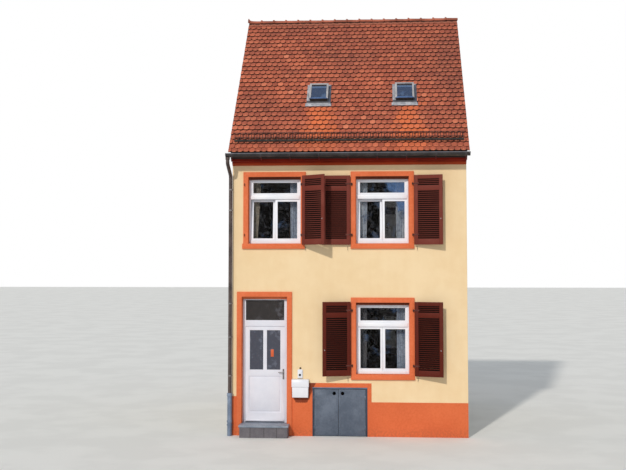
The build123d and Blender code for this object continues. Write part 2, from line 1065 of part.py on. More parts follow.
def pintles():
    """Bent pins leaded into the surrounds, each with a shoulder that its eye turns on."""
    hung = [(s.window, s.x) for s in shutters]
    hung.append((upper_left_window, pintle_x(upper_left_window, -1)))
    axis_y = -front - axis_reach
    with BuildPart() as irons:
        for window, x in hung:
            for z in pintle_heights(window):
                shoulder = z - running_gap
                with BuildSketch(Plane.XY.offset(shoulder)):
                    span(
                        x - pin_radius,
                        x + pin_radius,
                        axis_y - pin_radius - pintle_toe,
                        -front - surround_proud,
                    )
                extrude(amount=-pintle_arm)
                with BuildSketch(Plane.XY.offset(shoulder)):
                    with Locations((x, axis_y)):
                        Circle(pin_radius)
                extrude(amount=running_gap + eye_height + pin_top)
    save(irons, "shutter_pintles")


def catches():
    """Square iron hooks that hang from the wall under each leaf, to hold it open in wind."""
    with BuildPart() as irons:
        for shutter in shutters:
            window = shutter.window
            x = shutter.x + shutter.side * (hinge_offset + hook_along_leaf)
            z = leaf_foot(window) - hook_under_leaf
            with BuildLine():
                FilletPolyline(
                    (x, -front, z),
                    (x, -front - hook_reach, z),
                    (x, -front - hook_reach, z - hook_drop),
                    (x, -front - hook_reach - hook_curl, z - hook_drop),
                    radius=hook_bend,
                )
            with BuildSketch(Plane(origin=(x, -front, z), z_dir=(0, -1, 0))):
                Rectangle(hook_bar, hook_bar)
            sweep()
    save(irons, "shutter_catches")


# Letterbox and doorbell
def letterbox():
    """A tapered steel box under a deeper lid with a sloping top."""
    x0 = surround_right + letterbox_gap
    x1 = x0 + letterbox_width
    top = letterbox_foot + letterbox_height
    lid_foot = top - letterbox_lid_height
    back = -front - plinth_coat
    with BuildPart() as box:
        with BuildSketch(facade.offset(plinth_coat)):
            with BuildLine():
                Polyline(
                    (x0 + letterbox_taper, letterbox_foot),
                    (x1 - letterbox_taper, letterbox_foot),
                    (x1 - letterbox_lid_lap, lid_foot + letterbox_lid_lap),
                    (x0 + letterbox_lid_lap, lid_foot + letterbox_lid_lap),
                    close=True,
                )
            make_face()
        extrude(amount=letterbox_depth)
        chamfer(box.faces().sort_by(Axis.Y)[0].edges(), letterbox_edge)
        with BuildSketch(Plane.YZ.offset(x0)):
            with BuildLine():
                Polyline(
                    (back, lid_foot),
                    (back - letterbox_lid_depth, lid_foot),
                    (back - letterbox_lid_depth, top - letterbox_lid_slope),
                    (back - letterbox_lid_depth + letterbox_lid_slope / 2, top - letterbox_edge),
                    (back, top),
                    close=True,
                )
            make_face()
        extrude(amount=letterbox_width)
    save(box, "letterbox")


def doorbell():
    x = surround_right + letterbox_gap + letterbox_width / 2 + bell_shift
    foot = letterbox_foot + letterbox_height + bell_gap
    with BuildPart() as bell:
        with BuildSketch(facade):
            with Locations((x, foot + bell_height / 2)):
                RectangleRounded(bell_width, bell_height, bell_corner)
        extrude(amount=bell_depth)
        with BuildSketch(facade.offset(bell_depth)):
            with Locations((x + button_shift, foot + button_rise)):
                Circle(button_radius)
        extrude(amount=button_depth)
    save(bell, "doorbell")


# Roof
roof_face = Plane(
    origin=(
        0,
        -eave_edge + tile_depth * math.sin(pitch),
        eave_height - tile_depth * math.cos(pitch),
    ),
    x_dir=(1, 0, 0),
    z_dir=(0, -math.sin(pitch), math.cos(pitch)),
)
skylight_centres = [left + x for x in skylights_from_left]


def skylight_rectangle(x, inset, mode=Mode.ADD):
    """The outline of one skylight's lid drawn in on every side, in the sketch being drawn."""
    half = skylight_width / 2 - inset
    span(
        x - half,
        x + half,
        skylight_foot + inset,
        skylight_foot + skylight_length - inset,
        mode,
    )


def skylight_holes():
    hole_inset = skylight_kerb_inset + skylight_kerb_wall
    with BuildSketch(roof_face.offset(tile_depth)) as holes:
        for x in skylight_centres:
            skylight_rectangle(x, hole_inset)
    extrude(holes.sketch, amount=-tile_depth - deck_depth - hole_margin, mode=Mode.SUBTRACT)


def roof_deck(name, side):
    with BuildPart() as deck:
        with BuildSketch(Plane.YZ.offset(left)):
            with BuildLine():
                Polyline(
                    (side * (front + deck_reach), deck_under(front + deck_reach)),
                    (side * (front + deck_reach), deck_top(front + deck_reach)),
                    (0, deck_top(0)),
                    (0, deck_under(0)),
                    close=True,
                )
            make_face()
        extrude(amount=house_width)
        if side < 0:
            skylight_holes()
    save(deck, name)


def tile_courses(side):
    """Outline of the tiles: a step at every course, from the eave up to the ridge line."""
    foot_y = eave_edge - tile_depth * math.sin(pitch)
    foot_z = eave_height - tile_depth * math.cos(pitch)
    courses = math.ceil(foot_y / math.cos(pitch) / course_pitch)
    points = [(0, 0)]
    for i in range(courses):
        points += [
            (i * course_pitch, tile_depth),
            ((i + 1) * course_pitch, tile_depth - tile_step),
        ]
    points.append((courses * course_pitch, 0))
    return [
        (
            side * (foot_y - u * math.cos(pitch) + t * math.sin(pitch)),
            foot_z + u * math.sin(pitch) + t * math.cos(pitch),
        )
        for u, t in points
    ]


def roof_tiles(name, side):
    with BuildPart() as tiles:
        with BuildSketch(Plane.YZ.offset(left - verge_reach)):
            with BuildLine():
                Polyline(*tile_courses(side), close=True)
            make_face()
        extrude(amount=house_width + 2 * verge_reach)
        split(bisect_by=Plane.XZ, keep=Keep.TOP if side < 0 else Keep.BOTTOM)
        if side < 0:
            skylight_holes()
    save(tiles, name)


def ridge():
    """Rounded ridge tiles, closed down to both slopes, with a collar over each joint."""
    x0 = left - verge_reach
    length = house_width + 2 * verge_reach
    count = round(length / ridge_tile)
    pieces = [(x0, length, ridge_half, ridge_rise - ridge_collar_rise)]
    for i in range(count + 1):
        start = x0 + (length - ridge_collar) * i / count
        pieces.append((start, ridge_collar, ridge_half + ridge_collar_side, ridge_rise))
    with BuildPart() as cap:
        for start, run, half, crown in pieces:
            with BuildSketch(Plane.YZ.offset(start)):
                with BuildLine():
                    foot = tile_line(half)
                    apex = tile_line(0)
                    ThreePointArc((-half, foot), (0, apex + crown), (half, foot))
                    Polyline((half, foot), (0, apex), (-half, foot))
                make_face()
            extrude(amount=run)
    save(cap, "ridge_tiles")


# Eaves
def cornices():
    """A moulded board with a cove, under the overhang of each slope."""
    foot = attic_level - cornice_drop
    soffit = attic_level - cornice_soffit_drop
    lip = front + cornice_lip
    belly_out, belly_up = cornice_belly
    with BuildPart() as boards:
        for side in (-1, 1):
            with BuildSketch(Plane.YZ.offset(left)):
                with BuildLine():
                    Polyline(
                        (side * (front + cornice_cove), soffit),
                        (side * (front + cornice_reach), soffit),
                        (side * (front + cornice_reach), deck_under(front + cornice_reach)),
                        (side * front, deck_under(front)),
                        (side * front, foot),
                        (side * lip, foot),
                        (side * lip, foot + cornice_lip_height),
                    )
                    ThreePointArc(
                        (side * lip, foot + cornice_lip_height),
                        (side * (front + belly_out), foot + belly_up),
                        (side * (front + cornice_cove), soffit),
                    )
                make_face()
            extrude(amount=house_width)
    save(boards, "cornices")


def lower_half(radius, reach):
    """The half of a disc that lies below the gutter's rim, in the sketch being drawn."""
    Circle(radius)
    with Locations((0, reach)):
        Rectangle(2 * reach, 2 * reach, mode=Mode.SUBTRACT)


def gutters():
    """Half-round troughs with a rolled bead and closed ends, run on to the outlet at the left."""
    x0 = left - verge_reach - gutter_run_on
    length = right + verge_reach + gutter_end - x0
    with BuildPart() as gutter:
        for side in (-1, 1):
            with BuildSketch(Plane.YZ.offset(x0)):
                with Locations((side * gutter_y, gutter_rim)):
                    lower_half(gutter_radius, gutter_radius)
                    Circle(gutter_radius - gutter_wall, mode=Mode.SUBTRACT)
                with Locations((side * (gutter_y + gutter_radius), gutter_rim)):
                    Circle(gutter_bead)
            extrude(amount=length)
            for x in (x0, x0 + length - gutter_wall):
                with BuildSketch(Plane.YZ.offset(x)):
                    with Locations((side * gutter_y, gutter_rim)):
                        lower_half(gutter_radius, gutter_radius)
                extrude(amount=gutter_wall)
    save(gutter, "gutters")


def gutter_brackets():
    """Folded straps under each gutter, each on a leg and a foot from the cornice's fascia."""
    count = int(house_width / bracket_spacing)
    outer = gutter_radius + bracket_strap
    leg = gutter_y - gutter_radius
    foot = gutter_rim - bracket_foot_drop
    with BuildPart() as straps:
        for side in (-1, 1):
            for i in range(count + 1):
                x = (i - count / 2) * bracket_spacing - bracket_width / 2
                with BuildSketch(Plane.YZ.offset(x)):
                    with Locations((side * gutter_y, gutter_rim)):
                        RegularPolygon(outer, bracket_folds, major_radius=False)
                        RegularPolygon(
                            gutter_radius, bracket_folds, major_radius=False, mode=Mode.SUBTRACT
                        )
                        with Locations((0, outer)):
                            Rectangle(3 * outer, 2 * outer, mode=Mode.SUBTRACT)
                    span(side * (leg - bracket_strap), side * leg, foot, gutter_rim)
                    span(
                        side * (front + cornice_reach), side * leg, foot, foot + bracket_foot_depth
                    )
                    with Locations((side * (gutter_y + gutter_radius), gutter_rim)):
                        Circle(gutter_bead + bracket_clearance, mode=Mode.SUBTRACT)
                extrude(amount=bracket_width)
    save(straps, "gutter_brackets")


def downpipe():
    """Outlet, swan-neck back to the wall, and the long drop to the standpipe."""
    x = left - pipe_outlet_shift
    outlet = gutter_rim - gutter_radius
    neck = outlet - pipe_outlet_drop
    top = Plane(origin=(x, -gutter_y, outlet), z_dir=(0, 0, -1))
    with BuildPart() as pipe:
        with BuildLine():
            FilletPolyline(
                (x, -gutter_y, outlet),
                (x, -gutter_y, neck),
                (pipe_x, pipe_y, neck - pipe_neck_drop),
                (pipe_x, pipe_y, stand_pipe_top - stand_pipe_socket),
                radius=pipe_bend,
            )
        with BuildSketch(top):
            Circle(pipe_radius)
        sweep()
        with BuildSketch(top) as collar:
            Circle(pipe_radius + pipe_collar)
        extrude(collar.sketch, amount=pipe_collar_height)
    save(pipe, "downpipe")


def standpipe():
    """The stout lower pipe that the downpipe slips into, with a socket band and a collar."""
    with BuildPart() as pipe:
        with BuildSketch(Plane.XY):
            with Locations((pipe_x, pipe_y)):
                Circle(stand_pipe_radius)
                Circle(pipe_radius + stand_pipe_clearance, mode=Mode.SUBTRACT)
        extrude(amount=stand_pipe_top)
        for z, height in stand_pipe_bands:
            with BuildSketch(Plane.XY.offset(z)):
                with Locations((pipe_x, pipe_y)):
                    Circle(stand_pipe_radius + stand_pipe_band)
                    Circle(pipe_radius + stand_pipe_clearance, mode=Mode.SUBTRACT)
            extrude(amount=height)
    save(pipe, "standpipe")


def pipe_clips():
    """Rings round the pipe, each with an arm back to the corner of the wall."""
    arm_start = math.sqrt((pipe_radius + clip_wall / 2) ** 2 - pipe_shift**2)
    with BuildPart() as clips:
        for z in clip_heights:
            with BuildSketch(Plane.XY.offset(z)):
                with Locations((pipe_x, pipe_y)):
                    Circle(pipe_radius + clip_wall)
                    Circle(pipe_radius, mode=Mode.SUBTRACT)
                span(left, left + clip_arm, pipe_y + arm_start, -front)
            extrude(amount=clip_height)
    save(clips, "pipe_clips")


def snow_guard():
    """A grating of flat bars that stands over the second tile course, on strutted stays."""
    y = -eave_edge + guard_up_slope * math.cos(pitch)
    foot = tile_line(y) + guard_lift
    width = house_width - 2 * guard_margin
    rail_foot = foot + guard_height - guard_rail_inset - guard_rail
    plane = Plane(origin=(0, y, 0), x_dir=(1, 0, 0), z_dir=(0, -1, 0))
    with BuildPart() as guard:
        with BuildSketch(plane):
            span(-width / 2, width / 2, foot, foot + guard_foot_rail)
            span(-width / 2, width / 2, rail_foot, rail_foot + guard_rail)
            with Locations((0, foot + guard_height / 2)):
                with GridLocations(guard_pitch, 1, int(width / guard_pitch), 1):
                    Rectangle(guard_bar, guard_height)
        extrude(amount=guard_depth)
    save(guard, "snow_guard")

    step = (width - 2 * stay_margin) / (stay_count - 1)
    with BuildPart() as stays:
        for i in range(stay_count):
            x = (i - (stay_count - 1) / 2) * step - stay_width / 2
            with BuildSketch(Plane.YZ.offset(x)):
                with BuildLine():
                    Polyline(
                        (y, tile_line(y)),
                        (y, foot + stay_height),
                        (y + guard_depth, foot + stay_height),
                        (y + stay_spread, tile_line(y + stay_spread)),
                        close=True,
                    )
                make_face()
            extrude(amount=stay_width)
    save(stays, "snow_guard_stays")


def skylight_frame(x):
    """A kerb on a lead flashing with a dressed apron, under a framed lid."""
    hole_inset = skylight_kerb_inset + skylight_kerb_wall
    side = skylight_width / 2 + flashing_side
    apron_top = skylight_foot - flashing_side
    with BuildSketch(roof_face.offset(tile_depth)) as flashing:
        skylight_rectangle(x, -flashing_side)
        span(x - side - apron_flare, x + side + apron_flare, apron_top - apron_length, apron_top)
        skylight_rectangle(x, hole_inset, Mode.SUBTRACT)
    extrude(flashing.sketch, amount=flashing_depth)
    with BuildSketch(roof_face.offset(tile_depth)) as kerb:
        skylight_rectangle(x, skylight_kerb_inset)
        skylight_rectangle(x, hole_inset, Mode.SUBTRACT)
    extrude(kerb.sketch, amount=skylight_kerb_height)
    with BuildSketch(roof_face.offset(tile_depth + skylight_kerb_height)) as lid:
        skylight_rectangle(x, 0)
        skylight_rectangle(x, skylight_lid_bar, Mode.SUBTRACT)
    extrude(lid.sketch, amount=skylight_lid)


def skylights():
    with BuildPart() as frames:
        for x in skylight_centres:
            skylight_frame(x)
    save(frames, "skylight_frames")

    pane_top = tile_depth + skylight_kerb_height + skylight_lid - skylight_pane_drop
    with BuildPart() as glass:
        with BuildSketch(roof_face.offset(pane_top)):
            for x in skylight_centres:
                skylight_rectangle(x, skylight_lid_bar)
        extrude(amount=-skylight_pane)
    save(glass, "skylight_glass")


# Curtains
def curtains():
    half = light_side() + lining_wall
    with BuildPart() as rails:
        for window in front_windows:
            with BuildSketch(Plane.YZ.offset(window.centre - half)):
                with Locations((-front + curtain_setback, window.head - rail_drop)):
                    Circle(rail_radius)
            extrude(amount=2 * half)
    save(rails, "curtain_rails")
    with BuildPart() as cloths:
        with BuildSketch(facade.offset(-curtain_setback + curtain_depth / 2)):
            for window in front_windows:
                for side in (-1, 1):
                    edge = window.centre + side * (half - curtain_inset)
                    span(
                        edge,
                        edge - side * curtain_width,
                        window.sill - sill_seat + curtain_clear,
                        window.head - rail_drop - rail_radius,
                    )
        extrude(amount=-curtain_depth)
    save(cloths, "curtains")


def roof():
    roof_deck("roof_deck_front", -1)
    roof_deck("roof_deck_back", 1)
    roof_tiles("roof_tiles_front", -1)
    roof_tiles("roof_tiles_back", 1)
    ridge()
    cornices()
    gutters()
    gutter_brackets()
    downpipe()
    standpipe()
    pipe_clips()
    snow_guard()
    skylights()


ground_floor()
hung_floor("upper_floor", upper_level, upper_floor_depth)
hung_floor("attic_floor", attic_level, attic_floor_depth)
walls()
plinth()
surrounds("window_surrounds_front", front_windows)
surrounds("window_surrounds_back", rear_windows)
door_surround()
windows()
door_frame()
door_leaf()
door_handle()
doorstep()
hatch()
for shutter in shutters:
    shutter_leaf(shutter)
pintles()
catches()
letterbox()
doorbell()
roof()
curtains()
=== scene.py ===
# %% [markdown]
# A narrow rendered townhouse with a steep roof of beavertail tiles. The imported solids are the
# frame: they give every place and size. This lesson dresses them with real finishes and replaces
# the ones whose detail is too fine for a solid, such as the tiles, the shutters and the curtains.

# %% Load the frame
import math
import random

import bmesh
import bpy
from mathutils import Matrix, Vector
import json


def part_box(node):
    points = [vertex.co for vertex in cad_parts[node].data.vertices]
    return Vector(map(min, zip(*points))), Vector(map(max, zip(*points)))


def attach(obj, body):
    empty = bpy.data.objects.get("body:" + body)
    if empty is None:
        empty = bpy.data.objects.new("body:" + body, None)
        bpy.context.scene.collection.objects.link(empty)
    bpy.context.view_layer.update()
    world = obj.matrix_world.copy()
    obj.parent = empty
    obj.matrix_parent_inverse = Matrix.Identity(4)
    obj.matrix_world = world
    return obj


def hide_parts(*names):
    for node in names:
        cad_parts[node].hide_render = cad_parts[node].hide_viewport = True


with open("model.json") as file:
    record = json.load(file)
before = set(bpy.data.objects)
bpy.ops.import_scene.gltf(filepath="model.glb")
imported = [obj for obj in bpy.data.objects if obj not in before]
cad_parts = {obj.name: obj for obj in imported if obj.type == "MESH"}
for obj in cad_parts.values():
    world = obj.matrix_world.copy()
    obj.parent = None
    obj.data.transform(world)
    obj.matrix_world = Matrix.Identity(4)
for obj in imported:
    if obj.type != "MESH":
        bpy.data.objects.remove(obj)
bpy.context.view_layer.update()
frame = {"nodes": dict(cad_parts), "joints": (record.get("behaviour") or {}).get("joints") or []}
nodes = frame["nodes"]

# %% [markdown]
# A few measures of the house come back in many pieces: the plane of the front, the pitch of the
# roof and its eaves, the heights of sills and heads, and where the rooms and the gables end. They
# are named once, so that every piece agrees with the next.

# %% Measures of the house
front_y = -3.0
slope = math.radians(47.5)
eave_z = 6.230
eave_y = -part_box("roof_tiles_front")[0].y
upper_sill, upper_head = 4.235, 5.722
lower_sill, lower_head = 1.360, 2.928
door_head = 2.782
room_x, room_y = 2.406, 2.640
gable_x = 2.597
print("the eaves stand", round(eave_y, 3), "m from the middle and", eave_z, "m up")

# %% [markdown]
# The camera comes first, so that every later piece can be judged against the photograph. It
# stands well in front of the house, a little right of the middle, and looks slightly to the left
# and upwards. The vertical lines still lean very little, because a small shift does part of the
# tilting.

# %% Camera
picture_width = 626
focal_pixels = 1000
shift_pixels = -26.03
tilt_up, turn_left = 0.056868, 0.069778
camera_data = bpy.data.cameras.new("front_camera")
camera_data.sensor_width = 36
camera_data.lens = 36 * focal_pixels / picture_width
camera_data.shift_y = shift_pixels / picture_width
camera = bpy.data.objects.new("front_camera", camera_data)
camera.location = (0.7565, -25.1722, 3.7364)
camera.rotation_euler = (math.pi / 2 + tilt_up, 0, turn_left)
bpy.context.scene.collection.objects.link(camera)
bpy.context.scene.camera = camera

# %% [markdown]
# A plain pale floor and a white surround keep attention on the house. One sun, high in front and
# a little to the left, draws the shadows under the eaves and beside the shutters. The even light
# of the surround fills them. The camera and the glass see the surround at full white, but the
# house is lit by a dimmer one, so that pale paint doesn't burn out.

# %% Light
scene = bpy.context.scene
scene.view_settings.view_transform = "Standard"
world = bpy.data.worlds.new("daylight")
scene.world = world
world.use_nodes = True
sky_tree = world.node_tree
sky_light = sky_tree.nodes["Background"]
sky_light.inputs["Color"].default_value = (0.86, 0.93, 1.0, 1)
sky_light.inputs["Strength"].default_value = 0.50
sky_seen = sky_tree.nodes.new("ShaderNodeBackground")
sky_seen.inputs["Color"].default_value = (1, 1, 1, 1)
rays = sky_tree.nodes.new("ShaderNodeLightPath")
seen = rays.outputs["Is Camera Ray"]
for kind in ("Is Glossy Ray", "Is Transmission Ray"):
    either = sky_tree.nodes.new("ShaderNodeMath")
    either.operation = "MAXIMUM"
    sky_tree.links.new(seen, either.inputs[0])
    sky_tree.links.new(rays.outputs[kind], either.inputs[1])
    seen = either.outputs[0]
sky_mix = sky_tree.nodes.new("ShaderNodeMixShader")
sky_tree.links.new(seen, sky_mix.inputs[0])
sky_tree.links.new(sky_light.outputs[0], sky_mix.inputs[1])
sky_tree.links.new(sky_seen.outputs[0], sky_mix.inputs[2])
sky_tree.links.new(sky_mix.outputs[0], sky_tree.nodes["World Output"].inputs[0])

sun_data = bpy.data.lights.new("sun", "SUN")
sun_data.energy = 1.95
sun_data.angle = math.radians(2.5)
sun_data.color = (1.0, 0.95, 0.87)
sun = bpy.data.objects.new("sun", sun_data)
towards_sun = Vector((-0.34, -1.0, 0.66))
sun.rotation_euler = towards_sun.to_track_quat("Z", "Y").to_euler()
scene.collection.objects.link(sun)

# %% [markdown]
# Finishes are built from nodes. Writing each Math node by hand hides the idea, so a small class
# wraps a socket and lets ordinary Python expressions add the nodes. One method makes any other
# node from its type, its settings and its inputs.

# %% Expressions on sockets
class Value:
    """A socket of a finish that can be used in plain arithmetic."""

    def __init__(self, finish, socket):
        self.finish = finish
        self.socket = socket

    def maths(self, operation, first, second):
        return self.finish.node(
            "ShaderNodeMath", {"operation": operation}, {0: first, 1: second}
        )

    def __add__(self, other):
        return self.maths("ADD", self, other)

    def __radd__(self, other):
        return self.maths("ADD", other, self)

    def __sub__(self, other):
        return self.maths("SUBTRACT", self, other)

    def __rsub__(self, other):
        return self.maths("SUBTRACT", other, self)

    def __mul__(self, other):
        return self.maths("MULTIPLY", self, other)

    def __rmul__(self, other):
        return self.maths("MULTIPLY", other, self)

    def __pow__(self, other):
        return self.maths("POWER", self, other)


def size_of(value):
    return value.maths("ABSOLUTE", value, 0)


def greatest(first, *others):
    for other in others:
        first = first.maths("MAXIMUM", first, other)
    return first


def paint(red, green, blue):
    """A colour as a paint chart gives it, from 0 to 255, turned into Blender's linear light."""
    return tuple((c / 255 / 12.92) if c <= 10 else ((c / 255 + 0.055) / 1.055) ** 2.4
                 for c in (red, green, blue)) + (1,)


# %% [markdown]
# A finish is one material. It keeps the coordinates at hand, makes noise, smooth steps from one
# value to another and mixes of two paints, and links the result to a socket of its shader. A
# maker thinks the same way: a coat, what lies over it, and where.

# %% One class for a finish
class Finish:
    """A material whose shader is driven by expressions on Object coordinates."""

    def __init__(self, name, roughness=0.6, metallic=0.0, shine=0.5):
        self.material = bpy.data.materials.new(name)
        self.material.use_nodes = True
        self.tree = self.material.node_tree
        self.shader = self.tree.nodes["Principled BSDF"]
        self.shader.inputs["Roughness"].default_value = roughness
        self.shader.inputs["Metallic"].default_value = metallic
        self.shader.inputs["Specular IOR Level"].default_value = shine
        self.place = self.node("ShaderNodeTexCoord", output="Object")
        self.x, self.y, self.z = (
            self.node("ShaderNodeSeparateXYZ", {}, {0: self.place}, output=axis)
            for axis in ("X", "Y", "Z")
        )

    def node(self, kind, settings=None, inputs=None, output=0):
        made = self.tree.nodes.new(kind)
        for name, setting in (settings or {}).items():
            if name == "stops":
                ramp = made.color_ramp
                while len(ramp.elements) < len(setting):
                    ramp.elements.new(0.5)
                for element, (position, colour) in zip(ramp.elements, setting):
                    element.position = position
                    element.color = colour
            else:
                setattr(made, name, setting)
        for name, given in (inputs or {}).items():
            if isinstance(given, Value):
                self.tree.links.new(given.socket, made.inputs[name])
            else:
                made.inputs[name].default_value = given
        return Value(self, made.outputs[output])

    def noise(self, scale, detail=4, place=None, roughness=0.55):
        return self.node(
            "ShaderNodeTexNoise",
            {},
            {
                "Vector": place or self.place, "Scale": scale, "Detail": detail,
                "Roughness": roughness,
            },
        )

    def stretched(self, x, y, z):
        """Object coordinates scaled per axis, for grain and streaks."""
        return self.node("ShaderNodeMapping", {}, {"Vector": self.place, "Scale": (x, y, z)})

    def between(self, value, low, high, to_low=0.0, to_high=1.0):
        """A smooth step from to_low to to_high as value goes from low to high."""
        return self.node(
            "ShaderNodeMapRange",
            {"interpolation_type": "SMOOTHSTEP"},
            {
                "Value": value, "From Min": low, "From Max": high,
                "To Min": to_low, "To Max": to_high,
            },
        )

    def mix(self, factor, first, second):
        return self.node(
            "ShaderNodeMix", {"data_type": "RGBA"}, {0: factor, 6: first, 7: second}, output=2
        )

    def set(self, name, given):
        if isinstance(given, Value):
            self.tree.links.new(given.socket, self.shader.inputs[name])
        else:
            self.shader.inputs[name].default_value = given

    def bump(self, height, distance, strength=1.0):
        normal = self.node(
            "ShaderNodeBump", {}, {"Height": height, "Distance": distance, "Strength": strength}
        )
        self.set("Normal", normal)


# %% [markdown]
# Lime render is never one flat colour: the trowel leaves broad soft patches and the sand makes a
# fine grain. The front is cream and freshly painted, so its two tones lie close together. The
# party walls, which nobody paints, are a greyer and rougher coat, and so are the ends of the
# front and back walls that show at the gables. The same solids also line the rooms, and there the
# coat is painted a dim colour as painted shade, so that the windows look into dark rooms and not
# at daylight.

# %% Render on the walls
def render_coat(name, light, dark, worn, grain, foot_wear, gable=None):
    coat = Finish(name, roughness=0.9, shine=0.3)
    patches = coat.noise(0.55, 4)
    trowel = coat.noise(4.5, 3)
    streaks = coat.noise(2.2, 4, coat.stretched(3.0, 3.0, 0.3))
    tone = coat.between(patches * 0.5 + trowel * 0.32 + streaks * 0.18, 0.36, 0.66)
    foot = coat.between(coat.z, 0.0, 1.1, foot_wear, 0.0) * coat.between(trowel, 0.35, 0.65)
    colour = coat.mix(tone, light, dark)
    colour = coat.mix(foot, colour, worn)
    specks = coat.between(coat.noise(34, 3, None, 0.7), 0.66, 0.74, 0.0, 0.22)
    colour = coat.mix(specks, colour, worn)
    # Inside the rooms the coat is painted dim: painted shade for the unlit rooms.
    indoors_shade = coat.between(size_of(coat.x), room_x - 0.003, room_x + 0.003, 1.0, 0.0)
    indoors_shade = indoors_shade * coat.between(size_of(coat.y), room_y - 0.003, room_y + 0.003, 1.0, 0.0)
    colour = coat.mix(indoors_shade, colour, paint(72, 66, 60))
    if gable:
        at_gable = coat.between(size_of(coat.x), gable_x - 0.001, gable_x + 0.001, 1.0, 0.0)
        colour = coat.mix(at_gable, coat.mix(tone, gable[0], gable[1]), colour)
    coat.set("Base Color", colour)
    sand = coat.noise(230, 3) * 0.4 + coat.noise(60, 3) * 0.6
    coat.bump(sand + patches * 0.4, grain, 0.5)
    return coat.material


party_colours = paint(207, 198, 182), paint(194, 184, 166)
cream_render = render_coat(
    "cream_render", paint(242, 216, 175), paint(236, 207, 163), paint(212, 180, 136), 0.0032, 0.10,
    party_colours,
)
party_render = render_coat("party_render", *party_colours, paint(164, 152, 134), 0.008, 0.30)

# %% [markdown]
# The plinth and the stone surrounds wear the same masonry paint. On the plinth it lies over
# render and has worn thin near its foot. Below the letterbox the letterbox's shadow is painted on
# it, dark and widening downwards. On the sandstone it is thicker and smoother, with the mason's
# tooling just showing.

# %% Masonry paint
def masonry_paint(name, light, dark, tooling, distance, shadow_caster=None):
    """Thick paint in two tones. The box given last is a thing whose shadow is painted below it."""
    coat = Finish(name, roughness=0.74, shine=0.3)
    patches = coat.noise(1.3, 5)
    fine = coat.noise(22, 4)
    colour = coat.mix(coat.between(patches * 0.6 + fine * 0.4, 0.36, 0.64), light, dark)
    splash = coat.between(coat.z, 0.02, 0.26, 0.45, 0.0) * coat.between(fine, 0.35, 0.65)
    colour = coat.mix(splash, colour, paint(170, 98, 68))
    chips = coat.between(coat.noise(58, 4, None, 0.75), 0.69, 0.73, 0.0, 0.5)
    colour = coat.mix(chips, colour, paint(240, 160, 120))
    # A painted shadow under the given box: dark, shifted a little right, away from the sun, and
    # widening as it falls.
    if shadow_caster:
        middle = (shadow_caster[0].x + shadow_caster[1].x) / 2 + 0.02
        half = (shadow_caster[1].x - shadow_caster[0].x) / 2
        fallen = shadow_caster[0].z - coat.z
        reach = coat.between(coat.noise(30, 3) * 0.05 - fallen, -0.108, -0.078)
        beside = size_of(coat.x - middle) + fine * 0.03 + fallen * 0.45
        stain = reach * coat.between(beside, half - 0.01, half + 0.02, 1.0, 0.0)
        colour = coat.mix(stain * 0.86, colour, paint(100, 38, 16))
    coat.set("Base Color", colour)
    coat.set("Roughness", coat.between(fine, 0.3, 0.7, 0.64, 0.84))
    coat.bump(coat.noise(tooling, 4) + fine * 0.5, distance, 0.45)
    return coat.material


plinth_paint = masonry_paint(
    "plinth_paint", paint(222, 111, 65), paint(212, 102, 58), 190, 0.0030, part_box("letterbox")
)
stone_paint = masonry_paint("stone_paint", paint(226, 117, 73), paint(216, 107, 63), 90, 0.0016)
# A dark red-brown that the linings under the heads are painted with: painted shade.
shaded_soffit_paint = masonry_paint("shaded_soffit_paint", paint(120, 52, 24), paint(96, 38, 16), 90, 0.0016)

# %% [markdown]
# White joinery: the windows and the door are brushed gloss paint. The brush leaves very fine
# lines along the wood, dust settles in the lower corners, and the coat is slippery enough for a
# soft highlight.

# %% Joinery paint
def joinery_paint(
    name, light, dark, roughness, brush, along=(40, 40, 4), shine=0.5, foot=None, bleached=None,
    shaded_tops=(),
):
    """Brushed paint in two tones. Below a height, foot, it may take a lighter colour: painted
    light.

    Just below each of the heights given last, the head's shadow is painted on in warm grey.
    """
    coat = Finish(name, roughness=roughness, shine=shine)
    patches = coat.noise(3.0, 4)
    strokes = coat.noise(14, 3, coat.stretched(*along))
    tone = coat.between(patches * 0.6 + strokes * 0.4, 0.36, 0.66)
    colour = coat.mix(tone, light, dark)
    if foot:
        lit_low_part = coat.between(coat.z + patches * 0.01, foot, foot + 0.07, 0.9, 0.0)
        colour = coat.mix(lit_low_part, colour, bleached)
    # Below each head, a warm grey band painted on the frame: the head's shadow, painted shade.
    for top in shaded_tops:
        painted_light_mask = coat.between(coat.z, top - 0.075, top - 0.062)
        painted_light_mask = painted_light_mask * coat.between(coat.z, top, top + 0.01, 1.0, 0.0)
        colour = coat.mix(painted_light_mask * 0.55, colour, paint(158, 140, 122))
    coat.set("Base Color", colour)
    coat.set("Roughness", coat.between(strokes, 0.3, 0.7, roughness - 0.08, roughness + 0.12))
    coat.bump(strokes, brush, 0.5)
    return coat.material


window_white = joinery_paint(
    "window_white", paint(243, 245, 251), paint(231, 234, 244), 0.34, 0.0005,
    shaded_tops=(upper_head, lower_head),
)
door_white = joinery_paint("door_white", paint(227, 228, 238), paint(216, 218, 230), 0.38, 0.0006)
box_white = joinery_paint("box_white", paint(236, 237, 244), paint(222, 224, 234), 0.32, 0.0003)
# The cornice's lower moulding is painted lighter: painted light below the gutter's shade.
eaves_paint = joinery_paint(
    "eaves_paint", paint(132, 26, 5), paint(98, 15, 3), 0.6, 0.0010, (4, 40, 40), 0.12,
    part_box("cornices")[0].z + 0.015, paint(172, 70, 36),
)
